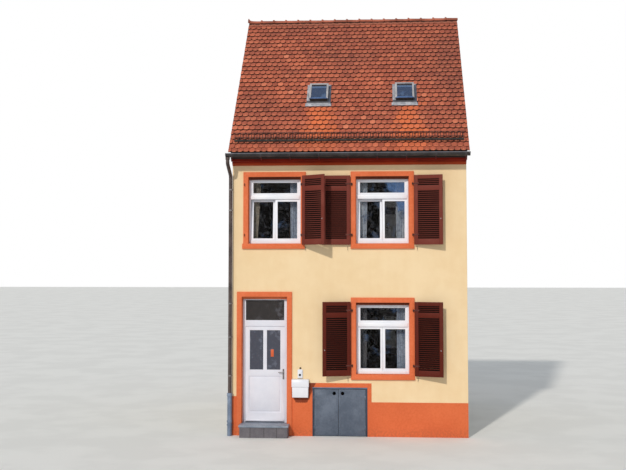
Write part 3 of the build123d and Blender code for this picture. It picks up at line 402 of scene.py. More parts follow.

# %% [markdown]
# The shutters are softwood under an old red-brown stain. Sun has bleached it in patches, more on
# the upper floor. The grain runs up the stiles and along the rails and slats, so each stain is
# made twice, once for either direction. Each broad face of a slat keeps its colour at its open
# edge only. The rest lies behind the next slat and is painted near black as painted shade. An
# attribute on the slats says how deep a point lies, and is nought on the rest of the leaf.

# %% Shutter stain
def shutter_stain(name, light, dark, bleached, along):
    stain = Finish(name, roughness=0.62, shine=0.22)
    grain = stain.noise(16, 6, stain.stretched(*along), 0.65)
    patches = stain.noise(2.4, 4)
    colour = stain.mix(stain.between(grain, 0.32, 0.68), dark, light)
    colour = stain.mix(stain.between(patches, 0.50, 0.72, 0.0, 0.4), colour, bleached)
    shelter = stain.node("ShaderNodeAttribute", {"attribute_name": "shelter"}, {}, output="Fac")
    # Where a slat lies deep behind the next one it is painted near black: painted shade.
    colour = stain.mix(stain.between(shelter, 0.18, 0.36), colour, paint(12, 5, 4))
    stain.set("Base Color", colour)
    stain.set("Roughness", stain.between(grain, 0.3, 0.7, 0.54, 0.74))
    stain.bump(grain, 0.0012, 0.6)
    return stain.material


up_the_stile = (26, 26, 1.6)
along_the_rail = (1.6, 26, 26)
upper_colours = paint(124, 56, 45), paint(98, 40, 30), paint(136, 72, 60)
lower_colours = paint(100, 31, 13), paint(72, 18, 7), paint(108, 42, 24)
upper_stain = (
    shutter_stain("upper_stain_upright", *upper_colours, up_the_stile),
    shutter_stain("upper_stain_across", *upper_colours, along_the_rail),
)
lower_stain = (
    shutter_stain("lower_stain_upright", *lower_colours, up_the_stile),
    shutter_stain("lower_stain_across", *lower_colours, along_the_rail),
)

# %% [markdown]
# Metals of the house: dark weathered zinc in the gutter, a painted downpipe, galvanised steel on
# the standpipe and the cellar hatch, black wrought iron on the shutters. Each is a base colour
# that drifts, a few scratches or rust specks, and a roughness that follows them. A lighter band
# along the gutter's rim and along the top of the hatch frame is a painted highlight.

# %% Metals
def weathered_metal(
    name, light, dark, metallic, roughness, specks=None, amount=0.0, scale=5.0,
    above=None, other=None,
):
    """Metal in clouds of two tones. Above a height it may have two others."""
    metal = Finish(name, roughness=roughness, metallic=metallic)
    clouds = metal.noise(scale, 6, None, 0.65)
    fine = metal.noise(scale * 14, 4)
    colour = metal.mix(metal.between(clouds * 0.7 + fine * 0.3, 0.36, 0.64), light, dark)
    if specks:
        spots = metal.between(metal.noise(scale * 9, 5, None, 0.7), 0.62, 0.70, 0.0, amount)
        colour = metal.mix(spots, colour, specks)
    if above:
        higher = metal.between(metal.z, above - 0.003, above + 0.003)
        colour = metal.mix(higher, colour, metal.mix(clouds, *other))
    metal.set("Base Color", colour)
    metal.set("Roughness", metal.between(clouds, 0.3, 0.7, roughness - 0.12, roughness + 0.14))
    metal.bump(fine + clouds * 0.6, 0.0008, 0.5)
    return metal.material


gutter_low, gutter_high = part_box("gutters")
# The gutter's top rim is painted a lighter blue-grey: a painted highlight.
gutter_zinc = weathered_metal(
    "gutter_zinc", paint(70, 66, 66), paint(44, 42, 44), 0.45, 0.46,
    above=gutter_high.z - 0.020, other=(paint(124, 126, 138), paint(70, 66, 66)),
)
bracket_paint = weathered_metal(
    "bracket_paint", paint(120, 22, 6), paint(96, 14, 4), 0.1, 0.6,
    above=gutter_low.z - 0.004, other=(paint(74, 72, 76), paint(48, 46, 50)),
)
pipe_paint = weathered_metal("pipe_paint", paint(92, 78, 74), paint(62, 52, 50), 0.30, 0.48)
clip_zinc = weathered_metal("clip_zinc", paint(150, 146, 146), paint(104, 100, 100), 0.45, 0.45)
standpipe_steel = weathered_metal(
    "standpipe_steel", paint(138, 152, 174), paint(104, 118, 140), 0.30, 0.5
)
hatch_steel = weathered_metal(
    "hatch_steel", paint(96, 106, 122), paint(78, 88, 104), 0.25, 0.55, paint(70, 68, 72), 0.35, 2.2
)
# The frame's top strip is painted a lighter blue: a painted highlight.
hatch_edge = weathered_metal(
    "hatch_edge", paint(60, 72, 90), paint(40, 50, 66), 0.25, 0.6, paint(52, 46, 44), 0.5, 4,
    above=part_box("hatch_frame")[1].z - 0.020, other=(paint(100, 122, 148), paint(78, 98, 124)),
)
black_iron = weathered_metal(
    "black_iron", paint(44, 38, 36), paint(24, 22, 22), 0.5, 0.55, paint(96, 52, 32), 0.6, 14
)
stained_iron = weathered_metal(
    "stained_iron", paint(104, 46, 36), paint(74, 30, 24), 0.0, 0.75, paint(60, 30, 24), 0.5, 18
)
guard_iron = weathered_metal(
    "guard_iron", paint(84, 42, 34), paint(48, 27, 24), 0.2, 0.66, paint(116, 60, 42), 0.5, 12
)
# Near black for the snow guard's foot rail: painted shade along the guard's foot.
shaded_foot_rail_iron = weathered_metal(
    "shaded_foot_rail_iron", paint(40, 38, 33), paint(18, 18, 16), 0.1, 0.7, paint(76, 44, 30), 0.5, 9
)
skylight_zinc = weathered_metal(
    "skylight_zinc", paint(184, 182, 184), paint(146, 144, 148), 0.40, 0.48
)
# Painted shade and a painted reflection for the skylights: a dark kerb, a sky-blue lid foot and a
# near-black kerb foot.
shaded_skylight_kerb = weathered_metal("shaded_skylight_kerb", paint(66, 66, 72), paint(40, 40, 46), 0.40, 0.52)
skylight_foot_reflection = weathered_metal("skylight_foot_reflection", paint(66, 104, 156), paint(46, 72, 112), 0.2, 0.35)
shaded_kerb_foot = weathered_metal("shaded_kerb_foot", paint(58, 48, 40), paint(34, 28, 24), 0.1, 0.6)


def lead(name, light, dark, shadowed_span):
    """Lead sheet, with a band of painted shadow between two places measured up the slope from the
    eave.
    """
    sheet = Finish(name, roughness=0.62, metallic=0.25)
    clouds = sheet.noise(7, 6, None, 0.65)
    colour = sheet.mix(sheet.between(clouds, 0.36, 0.64), light, dark)
    up = (sheet.y + eave_y) * math.cos(slope) + (sheet.z - eave_z) * math.sin(slope)
    shadow_band = sheet.between(up, shadowed_span[0], shadowed_span[0] + 0.02)
    shadow_band = shadow_band * sheet.between(up, shadowed_span[1], shadowed_span[1] + 0.03, 1.0, 0.0)
    sheet.set("Base Color", sheet.mix(shadow_band * 0.85, colour, paint(48, 48, 56)))
    sheet.bump(clouds + sheet.noise(60, 3) * 0.4, 0.0016, 0.5)
    return sheet.material


# The band just below each skylight's kerb is painted dark: painted shadow on the apron.
lead_flashing = lead("lead_flashing", paint(186, 186, 192), paint(140, 142, 150), (1.712, 1.79))
# Darker lead for the right side of each skylight: painted shade.
shaded_lead = weathered_metal("shaded_lead", paint(92, 98, 112), paint(60, 66, 82), 0.25, 0.62)
handle_steel = weathered_metal("handle_steel", paint(150, 142, 142), paint(84, 78, 78), 0.70, 0.32)
rail_steel = weathered_metal("rail_steel", paint(190, 190, 192), paint(150, 150, 154), 0.8, 0.35)
bell_black = weathered_metal("bell_black", paint(34, 34, 36), paint(20, 20, 22), 0.1, 0.35)

# %% [markdown]
# The step is a dark slate slab on a grey concrete block. Slate is nearly black-blue with fine
# layered sheen. The block is coarse, with pores, and has joints that show where it was laid.

# %% Slate, block, boards and timber
def stone(name, light, dark, scale, distance, roughness):
    rock = Finish(name, roughness=roughness)
    clouds = rock.noise(scale, 6, None, 0.62)
    pores = rock.noise(scale * 12, 3)
    tone = rock.between(clouds * 0.6 + pores * 0.4, 0.36, 0.66)
    rock.set("Base Color", rock.mix(tone, light, dark))
    rock.bump(clouds + pores, distance, 0.6)
    return rock.material


slate = stone("slate", paint(146, 154, 168), paint(104, 116, 132), 5, 0.0020, 0.5)
mortar = stone("mortar", paint(104, 66, 54), paint(62, 40, 34), 14, 0.0060, 0.95)
ridge_mortar = stone("ridge_mortar", paint(176, 106, 84), paint(128, 76, 60), 14, 0.0060, 0.95)


def jointed_block(name, light, dark, joints):
    """Coarse blocks laid side by side, with a dark joint at each place along the front."""
    rock = Finish(name, roughness=0.9)
    clouds = rock.noise(7, 6, None, 0.62)
    pores = rock.noise(90, 3)
    colour = rock.mix(rock.between(clouds * 0.6 + pores * 0.4, 0.36, 0.66), light, dark)
    height = clouds + pores
    for x in joints:
        near = rock.between(size_of(rock.x - x), 0.003, 0.009, 1.0, 0.0)
        colour = rock.mix(near * 0.75, colour, paint(58, 54, 52))
        height = height - near * 2
    rock.set("Base Color", colour)
    rock.bump(height, 0.0040, 0.6)
    return rock.material


riser_low, riser_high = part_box("doorstep_riser")
riser_width = riser_high.x - riser_low.x
joint_shares = (0.235, 0.520, 0.775)
riser_joints = [riser_low.x + riser_width * share for share in joint_shares]
step_block = jointed_block("step_block", paint(114, 110, 115), paint(90, 87, 94), riser_joints)


def timber(name, light, dark, along, shade_below=None):
    """Wood with its grain along one axis. Below a height, at the eaves, it is near black: painted
    shade.
    """
    wood = Finish(name, roughness=0.6)
    grain = wood.noise(9, 6, wood.stretched(*along), 0.6)
    colour = wood.mix(wood.between(grain, 0.32, 0.68), light, dark)
    if shade_below:
        eave = wood.between(wood.z, shade_below, shade_below + 0.004, 1.0, 0.0)
        colour = wood.mix(eave, colour, paint(34, 12, 6))
    wood.set("Base Color", colour)
    wood.bump(grain, 0.0015, 0.5)
    return wood.material


floor_boards = timber("floor_boards", paint(150, 110, 72), paint(104, 72, 46), (1, 14, 8))
# The deck's end at the eaves, behind the gutter, is painted near black: painted shade.
roof_timber = timber("roof_timber", paint(170, 132, 92), paint(120, 88, 58), (1.2, 12, 12), 6.36)

# %% [markdown]
# Glass is seen in two ways at once: it mirrors the sky, and lets the room and its curtains show.
# A nearly black base, a smooth surface and a part transparent alpha do both, and survive the
# export. Over the base lie patches of a bluer tint and a grey-brown mottle, which are painted
# reflections of sky and trees. The panes of an old front mirror weakly, so their IOR is low. The
# upper right window faces open sky, and a painted reflection of it makes its right half bluer.
# Nothing is to be seen behind the back windows, and their glass hides more. The door has obscured
# glass, rougher and greyer. A skylight's pane lies deep in its lid, and the lid's shade along its
# upper edge and a line of light below that shade are painted on the glass.

# %% Glass
def glazing(
    name, tint, reflection_tint, alpha, roughness, ripple, ior, sky=None, mottling=0.12, rebate=None
):
    """A pane. sky: where a painted sky reflection begins, along and up. rebate: a lid's upper edge.
    """
    glass = Finish(name, roughness=roughness)
    wave = glass.noise(1.7, 3)
    # Patches of the second tint: a painted reflection of the sky.
    painted_light_mask = glass.between(glass.noise(4.2, 5), 0.53, 0.68)
    colour = glass.mix(painted_light_mask, tint, reflection_tint)
    # A grey-brown mottle: a painted reflection, strongest on the front windows.
    mottled = glass.between(glass.noise(13, 6, None, 0.7), 0.46, 0.66, 0.0, mottling)
    colour = glass.mix(mottled, colour, glass.mix(0.5, reflection_tint, paint(112, 104, 92)))
    # Below the lid's upper edge: painted shade, and under it a painted line of light.
    if rebate:
        lit = glass.between(glass.z, rebate - 0.096, rebate - 0.076, 0.0, 0.55)
        shaded = glass.between(glass.z, rebate - 0.052, rebate - 0.036, 0.0, 0.92)
        colour = glass.mix(shaded, glass.mix(lit, colour, paint(104, 132, 172)), paint(34, 28, 24))
    # The painted reflection of open sky on the right half of the upper right window.
    if sky:
        ragged = glass.x * 0.8 + glass.z * 0.4 + glass.noise(6, 6, None, 0.65) * 0.5
        painted_sky = glass.between(ragged, sky[0], sky[0] + 0.10)
        painted_sky = painted_sky * glass.between(glass.z, sky[1], sky[1] + 0.3)
        colour = glass.mix(painted_sky * 0.8, colour, paint(92, 126, 176))
        alpha = painted_sky * 0.35 + alpha
    glass.set("Base Color", colour)
    uneven = glass.between(painted_light_mask * 0.7 + wave * 0.3, 0.2, 0.8, -0.06, 0.16)
    glass.set("Alpha", uneven + mottled * 0.3 + alpha)
    glass.shader.inputs["IOR"].default_value = ior
    glass.bump(glass.noise(2.2, 2), ripple, 0.4)
    return glass.material


window_glass = glazing(
    "window_glass", paint(20, 19, 17), paint(58, 78, 108), 0.22, 0.03, 0.004, 1.27,
    sky=(3.10, 4.75), mottling=0.6,
)
back_glass = glazing("back_glass", paint(26, 30, 36), paint(52, 68, 92), 0.82, 0.04, 0.004, 1.30)
door_glass = glazing("door_glass", paint(76, 79, 92), paint(98, 103, 118), 0.94, 0.24, 0.003, 1.35)
fanlight_glass = glazing(
    "fanlight_glass", paint(54, 50, 50), paint(76, 76, 82), 0.90, 0.10, 0.003, 1.35
)
skylight_pane = glazing(
    "skylight_pane", paint(40, 62, 96), paint(64, 88, 122), 0.93, 0.05, 0.003, 1.35,
    rebate=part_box("skylight_glass")[1].z,
)

# %% [markdown]
# Fired clay takes a different colour in every kiln load. Each tile carries its own tone, and one
# more number says how far rain off a skylight has washed it clean. A third attribute holds the
# place on the tile itself, across, up and through it. With it the finish paints shade: the strip
# below the round feet of the two tiles above, the notch between them and the tile's side and foot
# edges are painted near black as painted shade, wider on the side away from the sun. The foot's
# rim gets a painted highlight, in patches. Broad brown weathering lies over all, and the tiles
# are browner towards the upper right.

# %% Clay tiles
tile_width = 0.131
tile_length = 0.375
tile_thick = 0.015
foot_round = 0.050
course = 0.160


def clay(name, tones, clean, brown, lichen_and_shade):
    tile = Finish(name, roughness=0.84, shine=0.25)
    tone = tile.node("ShaderNodeAttribute", {"attribute_name": "tone"}, {}, output="Fac")
    washed = tile.node("ShaderNodeAttribute", {"attribute_name": "washed"}, {}, output="Fac")
    laid = tile.node("ShaderNodeAttribute", {"attribute_name": "laid"}, {}, output="Vector")
    across, up, through = (
        tile.node("ShaderNodeSeparateXYZ", {}, {0: laid}, output=axis) for axis in ("X", "Y", "Z")
    )
    stops = list(zip((0.0, 0.45, 0.75, 1.0), tones))
    colour = tile.node("ShaderNodeValToRGB", {"stops": stops}, {0: tone})
    colour = tile.mix(washed, colour, clean)
    upper_right = tile.between(tile.z + tile.x * 0.45, 7.6, 10.2, 0.0, 0.34)
    weather = tile.between(tile.noise(0.75, 5), 0.38, 0.66, 0.04, 0.46)
    colour = tile.mix(weather + upper_right, colour, brown)
    lichen = tile.between(tile.noise(34, 5, None, 0.7), 0.58, 0.70, 0.0, 0.50)
    colour = tile.mix(lichen, colour, lichen_and_shade)
    bloom = tile.between(tile.noise(48, 4), 0.56, 0.70, 0.0, 0.45)
    colour = tile.mix(bloom, colour, paint(228, 142, 106))
    # The painted shade below the feet and in the notches, on the tile's sides and edges, and the
    # painted highlight on the foot's rim.
    from_side = tile_width / 2 - size_of(across)
    rounded = greatest(from_side - (tile_width / 2 - foot_round), 0.0)
    round_square = greatest(foot_round**2 - rounded * rounded, 0.0)
    cover = course + foot_round - round_square**0.5
    sun_side = tile.between(across, -0.030, 0.030, 0.012, -0.006)
    shadow_below_feet = tile.between(up - cover + sun_side, -0.030, -0.012, 0.0, 0.86)
    notch_shade = tile.between(up + sun_side, course - 0.006, course + 0.008, 0.0, 0.97)
    sides = tile.between(from_side, 0.001, 0.008, 0.70, 0.0)
    feet = tile.between(through, tile_thick * 0.60, tile_thick * 0.98, 0.94, 0.0)
    highlight_patches = tile.between(tile.noise(11, 4), 0.40, 0.60, 0.05, 0.42)
    rim_highlight = tile.between(up - (cover - course), 0.006, 0.044, 1.0, 0.0) * highlight_patches
    colour = tile.mix(rim_highlight, colour, paint(238, 148, 108))
    colour = tile.mix(greatest(shadow_below_feet, sides, feet, notch_shade), colour, lichen_and_shade)
    tile.set("Base Color", colour)
    tile.set("Roughness", tile.between(tile.noise(30, 3), 0.3, 0.7, 0.74, 0.92))
    tile.bump(tile.noise(150, 4) + tile.noise(24, 3), 0.0022, 0.6)
    return tile.material


kiln_tones = paint(138, 68, 52), paint(182, 94, 70), paint(208, 112, 82), paint(234, 138, 104)
washed_clay = paint(240, 122, 70)
brown_clay = paint(124, 70, 60)
# Near black, for lichen and for the painted shade between the tiles.
lichen_and_shade = paint(24, 11, 9)
roof_clay = clay("roof_clay", kiln_tones, washed_clay, brown_clay, lichen_and_shade)


def ridge_finish(name):
    tile = Finish(name, roughness=0.8, shine=0.25)
    clouds = tile.noise(2.2, 5)
    fine = tile.noise(60, 4)
    colour = tile.mix(tile.between(clouds, 0.38, 0.62), paint(182, 106, 84), paint(142, 80, 62))
    colour = tile.mix(tile.between(fine, 0.56, 0.72, 0.0, 0.45), colour, paint(92, 50, 42))
    tile.set("Base Color", colour)
    tile.bump(fine + clouds, 0.0022, 0.5)
    return tile.material


ridge_clay = ridge_finish("ridge_clay")

# %% [markdown]
# Every solid that stays gets its finish by name. The list also shows which solids are still to be
# replaced by finer pieces.

# %% Dress the solids
finishes = {
    cream_render: (
        "back_wall front_wall_base front_wall_left front_wall_lower front_wall_middle"
        " front_wall_upper"
    ),
    party_render: "left_party_wall right_party_wall",
    plinth_paint: "plinth_coat",
    stone_paint: "door_surround window_surrounds_front window_surrounds_back",
    window_white: "window_frames_front window_frames_back window_sashes_front window_sashes_back",
    door_white: "door_frame door_leaf",
    box_white: "letterbox doorbell",
    eaves_paint: "cornices",
    gutter_zinc: "gutters",
    bracket_paint: "gutter_brackets",
    pipe_paint: "downpipe",
    clip_zinc: "pipe_clips",
    standpipe_steel: "standpipe",
    hatch_steel: "hatch_leaf_left hatch_leaf_right",
    hatch_edge: "hatch_frame",
    black_iron: "shutter_pintles shutter_catches",
    guard_iron: "snow_guard snow_guard_stays",
    skylight_zinc: "skylight_frames",
    handle_steel: "door_handle",
    rail_steel: "curtain_rails",
    slate: "doorstep_slab",
    step_block: "doorstep_riser",
    floor_boards: "ground_floor upper_floor attic_floor",
    roof_timber: "roof_deck_front roof_deck_back",
    window_glass: "window_glass_front",
    back_glass: "window_glass_back",
    door_glass: "door_glass",
    fanlight_glass: "fanlight_glass",
    skylight_pane: "skylight_glass",
    ridge_clay: "ridge_tiles roof_tiles_front roof_tiles_back",
    upper_stain[0]: (
        "shutter_upper_left_window_right shutter_upper_right_window_left"
        " shutter_upper_right_window_right"
    ),
    lower_stain[0]: "shutter_lower_window_left shutter_lower_window_right",
}
dressed = 0
for material, names in finishes.items():
    for name in names.split():
        nodes[name].data.materials.clear()
        nodes[name].data.materials.append(material)
        dressed += 1
print("dressed", dressed, "of", len(nodes))

# %% [markdown]
# A few helpers serve all the new pieces. One turns a bmesh into a mesh, and one makes that an
# object that rides on its body and names its finish. Another appends a copy of a small mesh at a
# place, which is how tiles are repeated. A bar and a ring are the two forms that joinery and
# ironwork are made of. The last helper copies a solid and rounds its edges.

# %% Objects and repeated meshes
def mesh_of(bm, name):
    mesh = bpy.data.meshes.new(name)
    bm.to_mesh(mesh)
    bm.free()
    return mesh


def verts_of(geom):
    """The points among what an operator made."""
    return [item for item in geom if isinstance(item, bmesh.types.BMVert)]


def piece(bm, name, material, body="house", replaces=(), sharp=35):
    mesh = mesh_of(bm, name)
    mesh.polygons.foreach_set("use_smooth", [True] * len(mesh.polygons))
    mesh.set_sharp_from_angle(angle=math.radians(sharp))
    for finish in material if isinstance(material, (list, tuple)) else [material]:
        mesh.materials.append(finish)
    made = bpy.data.objects.new(name, mesh)
    scene.collection.objects.link(made)
    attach(made, body)
    if replaces:
        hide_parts(*replaces)
    print(name, len(mesh.polygons), "faces")
    return made


def stamp(bm, pattern, matrix):
    """Adds a copy of a pattern mesh to bm, put in place by the matrix."""
    copy = pattern.copy()
    copy.transform(matrix)
    bm.from_mesh(copy)
    bpy.data.meshes.remove(copy)


# %% Bars and rings
def bar(bm, low, high, rounding=0.0, segments=2, matrix=None, finish=0):
    """A box between two corners with rounded edges, in the finish with that number on the piece."""
    low, high = Vector(low), Vector(high)
    size = high - low
    made = bmesh.ops.create_cube(bm, size=1)["verts"]
    bmesh.ops.scale(bm, vec=size, verts=made)
    bmesh.ops.translate(bm, vec=(low + high) / 2, verts=made)
    if rounding:
        edges = list({edge for vert in made for edge in vert.link_edges})
        cut = bmesh.ops.bevel(
            bm, geom=edges, offset=rounding, segments=segments, affect="EDGES",
            profile=0.5, material=-1, clamp_overlap=True,
        )
        made = list({vert for face in cut["faces"] for vert in face.verts} | {
            vert for vert in made if vert.is_valid
        })
    for face in {face for vert in made for face in vert.link_faces}:
        face.material_index = finish
    if matrix is not None:
        bmesh.ops.transform(bm, matrix=matrix, verts=made)
    return made


def ring(bm, centre, inner, outer, low, high):
    """A collar round an upright axis: a small square profile, spun full circle."""
    profile = [
        bm.verts.new((centre.x + reach, centre.y, height))
        for reach, height in ((inner, low), (outer, low), (outer, high), (inner, high))
    ]
    sides = [bm.edges.new((profile[i - 1], profile[i])) for i in range(4)]
    bmesh.ops.spin(
        bm, geom=profile + sides, cent=centre, axis=(0, 0, 1), dvec=(0, 0, 0),
        angle=2 * math.pi, steps=20, use_merge=True,
    )


# %% Rounded copies of solids
def softened(name, material, rounding, body="house", segments=2, choose=None):
    """A copy of a solid with rounded edges. choose gives a face's finish number by its middle."""
    bm = bmesh.new()
    bm.from_mesh(nodes[name].data)
    bmesh.ops.remove_doubles(bm, verts=bm.verts, dist=0.00002)
    bmesh.ops.dissolve_limit(
        bm, angle_limit=math.radians(0.5), verts=bm.verts, edges=bm.edges, delimit=set()
    )
    bmesh.ops.connect_verts_concave(bm, faces=bm.faces)
    plain = bm.calc_volume()
    sharp = [
        edge for edge in bm.edges
        if len(edge.link_faces) == 2 and edge.calc_face_angle() > math.radians(40)
    ]
    bmesh.ops.bevel(
        bm, geom=sharp, offset=rounding, segments=segments, affect="EDGES",
        profile=0.5, material=-1, clamp_overlap=False,
    )
    print(name, "keeps", round(bm.calc_volume() / plain, 4), "of its volume")
    if choose:
        for face in bm.faces:
            face.material_index = choose(face.calc_center_median(), face.normal)
    return piece(bm, "soft_" + name, material, body, [name], 40)


# %% [markdown]
# No real edge is perfectly sharp. Stone is dressed with a small round, wood is sanded before it
# is painted, and sheet metal is folded over a radius. The copies of these solids get that round
# by a bevel, wide on the stones and narrow on metal, and it catches a thin line of light.

# %% Round the edges
heads = (upper_head, lower_head, door_head)


def soffit(middle, normal):
    """Under the heads, the linings behind the wall's face take the dark paint as painted shade."""
    under_head = any(head - 0.065 < middle.z < head + 0.004 for head in heads)
    return 1 if abs(middle.y) < -front_y and (normal.z < -0.9 or under_head) else 0


for stones in ("window_surrounds_front", "window_surrounds_back", "door_surround"):
    softened(stones, [stone_paint, shaded_soffit_paint], 0.005, choose=soffit)
for part, rounding in (("window_frames", 0.0025), ("window_sashes", 0.004)):
    for face in ("front", "back"):
        softened(f"{part}_{face}", window_white, rounding)
softened("door_frame", door_white, 0.0022)
softened("door_leaf", door_white, 0.0022, "front_door")
softened("doorstep_slab", slate, 0.010, segments=3)
softened("cornices", eaves_paint, 0.003)
softened("plinth_coat", plinth_paint, 0.0018)
softened("letterbox", box_white, 0.004)
bell_low, bell_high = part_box("doorbell")
button = 0.0068
softened(
    "doorbell", [box_white, bell_black], 0.0025,
    choose=lambda middle, normal: 1 if middle.y < bell_low.y + button else 0,
)
softened("hatch_frame", hatch_edge, 0.002)
softened("hatch_leaf_left", hatch_steel, 0.0015, "hatch_left")
softened("hatch_leaf_right", hatch_steel, 0.0015, "hatch_right")

# %% [markdown]
# A skylight is a lid of bare pale zinc on a kerb, in a flashing of light lead with a dressed apron.
# Light and shade are painted on it: the kerb and the lid's inner and lower faces are painted dark
# as painted shade, the lid's foot is painted sky blue as a painted reflection, the kerb's foot is
# painted near black as painted shade, and the lead on the right, away from the sun, is painted
# darker as painted shade. Each face of the solid gets its finish by how far it stands out from
# the slope, by where it faces and by how far up it lies.

# %% Skylights
pane_width = 0.348
pane_foot = 1.830
skylight_low, skylight_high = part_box("skylight_glass")
skylight_middles = (skylight_low.x + pane_width / 2, skylight_high.x - pane_width / 2)
slope_out = Vector((0, -math.sin(slope), math.cos(slope)))
slope_up = Vector((0, math.cos(slope), math.sin(slope)))
eave_edge = Vector((0, -eave_y, eave_z))
lead_top, kerb_top, lid_top = 0.012, 0.069, 0.09
pane_half, lid_half, dark_from = 0.16, 0.20, 0.205


def skylight_part(middle, normal):
    """A face's finish: 0 lid, 1 kerb, 2 light lead, 3 dark lead, 4 lid foot, 5 kerb foot; 1, 3, 5
    painted shade, 4 painted sky.
    """
    out = (middle - eave_edge).dot(slope_out)
    up = (middle - eave_edge).dot(slope_up)
    across = min((middle.x - x for x in skylight_middles), key=abs)
    if out < lead_top:
        return 3 if across > dark_from else 2
    towards_pane = normal.dot(Vector((across, 0, 0))) < -0.02 and abs(across) < lid_half
    down_slope = normal.dot(slope_up) < -0.8
    outwards = normal.dot(slope_out) > 0.8
    if up < pane_foot and outwards and out > lid_top and abs(across) < pane_half:
        return 4
    if out < kerb_top and down_slope:
        return 5
    return 1 if out < kerb_top or towards_pane or down_slope else 0


softened(
    "skylight_frames",
    [skylight_zinc, shaded_skylight_kerb, lead_flashing, shaded_lead, skylight_foot_reflection, shaded_kerb_foot],
    0.0025, choose=skylight_part,
)

# %% [markdown]
# A beavertail tile is a flat clay plate with a rounded foot. One is shaped from a square: it is
# stretched, its two foot corners are bevelled into a round, and its face is pulled out to the
# tile's thickness. Laid double, each tile is more than two courses long, so every joint has a
# tile under it.

# %% One tile
tile_joint = 0.003


def tile_pattern():
    bm = bmesh.new()
    bmesh.ops.create_grid(bm, x_segments=1, y_segments=1, size=0.5)
    bmesh.ops.scale(bm, vec=(tile_width - tile_joint, tile_length, 1), verts=bm.verts)
    bmesh.ops.translate(bm, vec=(0, tile_length / 2, 0), verts=bm.verts)
    corners = [vert for vert in bm.verts if vert.co.y < 0.001]
    bmesh.ops.bevel(
        bm, geom=corners, offset=foot_round, segments=4, affect="VERTICES",
        profile=0.5, material=-1, clamp_overlap=True,
    )
    pulled = bmesh.ops.extrude_face_region(bm, geom=bm.faces[:])["geom"]
    bmesh.ops.translate(bm, vec=(0, 0, tile_thick), verts=verts_of(pulled))
    bmesh.ops.recalc_face_normals(bm, faces=bm.faces)
    return mesh_of(bm, "tile_pattern")


tile_mesh = tile_pattern()
print("one tile", len(tile_mesh.polygons), "faces")

# %% [markdown]
# The slopes have their own coordinates: along the eave, up the slope and outwards. The tiles are
# laid in them, and turned to their place on the house at the end. Where a skylight comes through,
# planes cut the tiles along its hole, and what lies inside goes.

# %% A slope and its holes
tiles_low, tiles_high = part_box("roof_tiles_front")
roof_left, roof_right = tiles_low.x, tiles_high.x
tile_rise = 0.060
hole_half, hole_foot, hole_length = 0.220, 1.770, 0.575
near_half, near_foot, near_head = 0.6, 1.3, 2.8


def slope_matrix(side):
    """From (along, up the slope, outwards) to the house, for the front with side -1."""
    along = Vector((-side, 0, 0))
    up = Vector((0, -side * math.cos(slope), math.sin(slope)))
    out = along.cross(up)
    foot = Vector((0, side * eave_y, eave_z)) - out * tile_rise
    turned = Matrix((along, up, out)).transposed().to_4x4()
    return Matrix.Translation(foot) @ turned


def cut_hole(bm, x, inset):
    """Removes what lies in a skylight's hole, in slope coordinates."""
    half = hole_half - inset
    low, high = hole_foot + inset, hole_foot + hole_length - inset
    for point, normal in (
        ((x - half, 0, 0), (1, 0, 0)),
        ((x + half, 0, 0), (-1, 0, 0)),
        ((0, low, 0), (0, 1, 0)),
        ((0, high, 0), (0, -1, 0)),
    ):
        near = [
            face for face in bm.faces
            if abs(face.calc_center_median().x - x) < near_half
            and near_foot < face.calc_center_median().y < near_head
        ]
        geom = list({item for face in near for item in [*face.verts, *face.edges, face]})
        bmesh.ops.bisect_plane(bm, geom=geom, plane_co=point, plane_no=normal)
    inside = [
        face for face in bm.faces
        if abs(face.calc_center_median().x - x) < half
        and low < face.calc_center_median().y < high
    ]
    bmesh.ops.delete(bm, geom=inside, context="FACES")


def cut_beyond(bm, point, outwards):
    """Cuts all of a mesh along a plane and removes what lies beyond it."""
    everything = bm.verts[:] + bm.edges[:] + bm.faces[:]
    bmesh.ops.bisect_plane(
        bm, geom=everything, plane_co=point, plane_no=outwards, clear_outer=True
    )


# %% [markdown]
# The tiles are laid like a roofer lays them: course by course from the eave, every second course
# moved by half a tile, and the verges closed with half tiles. A short course goes under the first
# one. Each tile gets a small lift, turn and tone of its own.

# %% Lay both slopes
tile_fall = 0.1
eave_gap = 0.030
under_foot, under_drop = 0.064, 0.0155
apron_foot = 1.62
slope_length = (eave_y - tile_rise * math.sin(slope)) / math.cos(slope)
course_count = math.ceil(slope_length / course)
print("courses", course_count)


def rain_washed(x, up, dice):
    """How clean a tile is: below a skylight the rain runs off its apron and keeps it orange."""
    clean = 0.0
    for place in skylight_middles:
        spread = 0.36 + 0.10 * max(0.0, 1.6 - up)
        near = 1 - abs(x - place - 0.06) / spread + dice.gauss(0, 0.22)
        if up < apron_foot and near > 0:
            clean = max(clean, min(0.8, near * 1.3) * min(1.0, 0.35 + up / 1.1))
    return clean


def tile_place(x, row, dice):
    """Where one tile lies, and how far its foot is up the slope. Row -1 is the under course."""
    foot = max(row, 0) * course + (under_foot if row < 0 else dice.uniform(-0.004, 0.004))
    foot += eave_gap if row < 1 else 0.0
    lift = tile_rise - tile_thick - (under_drop if row < 0 else 0.0)
    lift += dice.uniform(-0.0015, 0.0015)
    place = (
        Matrix.Translation((x, foot, lift))
        @ Matrix.Rotation(math.radians(dice.uniform(-0.7, 0.7)), 4, "Z")
        @ Matrix.Rotation(-math.atan(tile_fall), 4, "X")
        @ Matrix.Rotation(math.radians(dice.uniform(-0.5, 0.5)), 4, "Y")
    )
    return place, foot


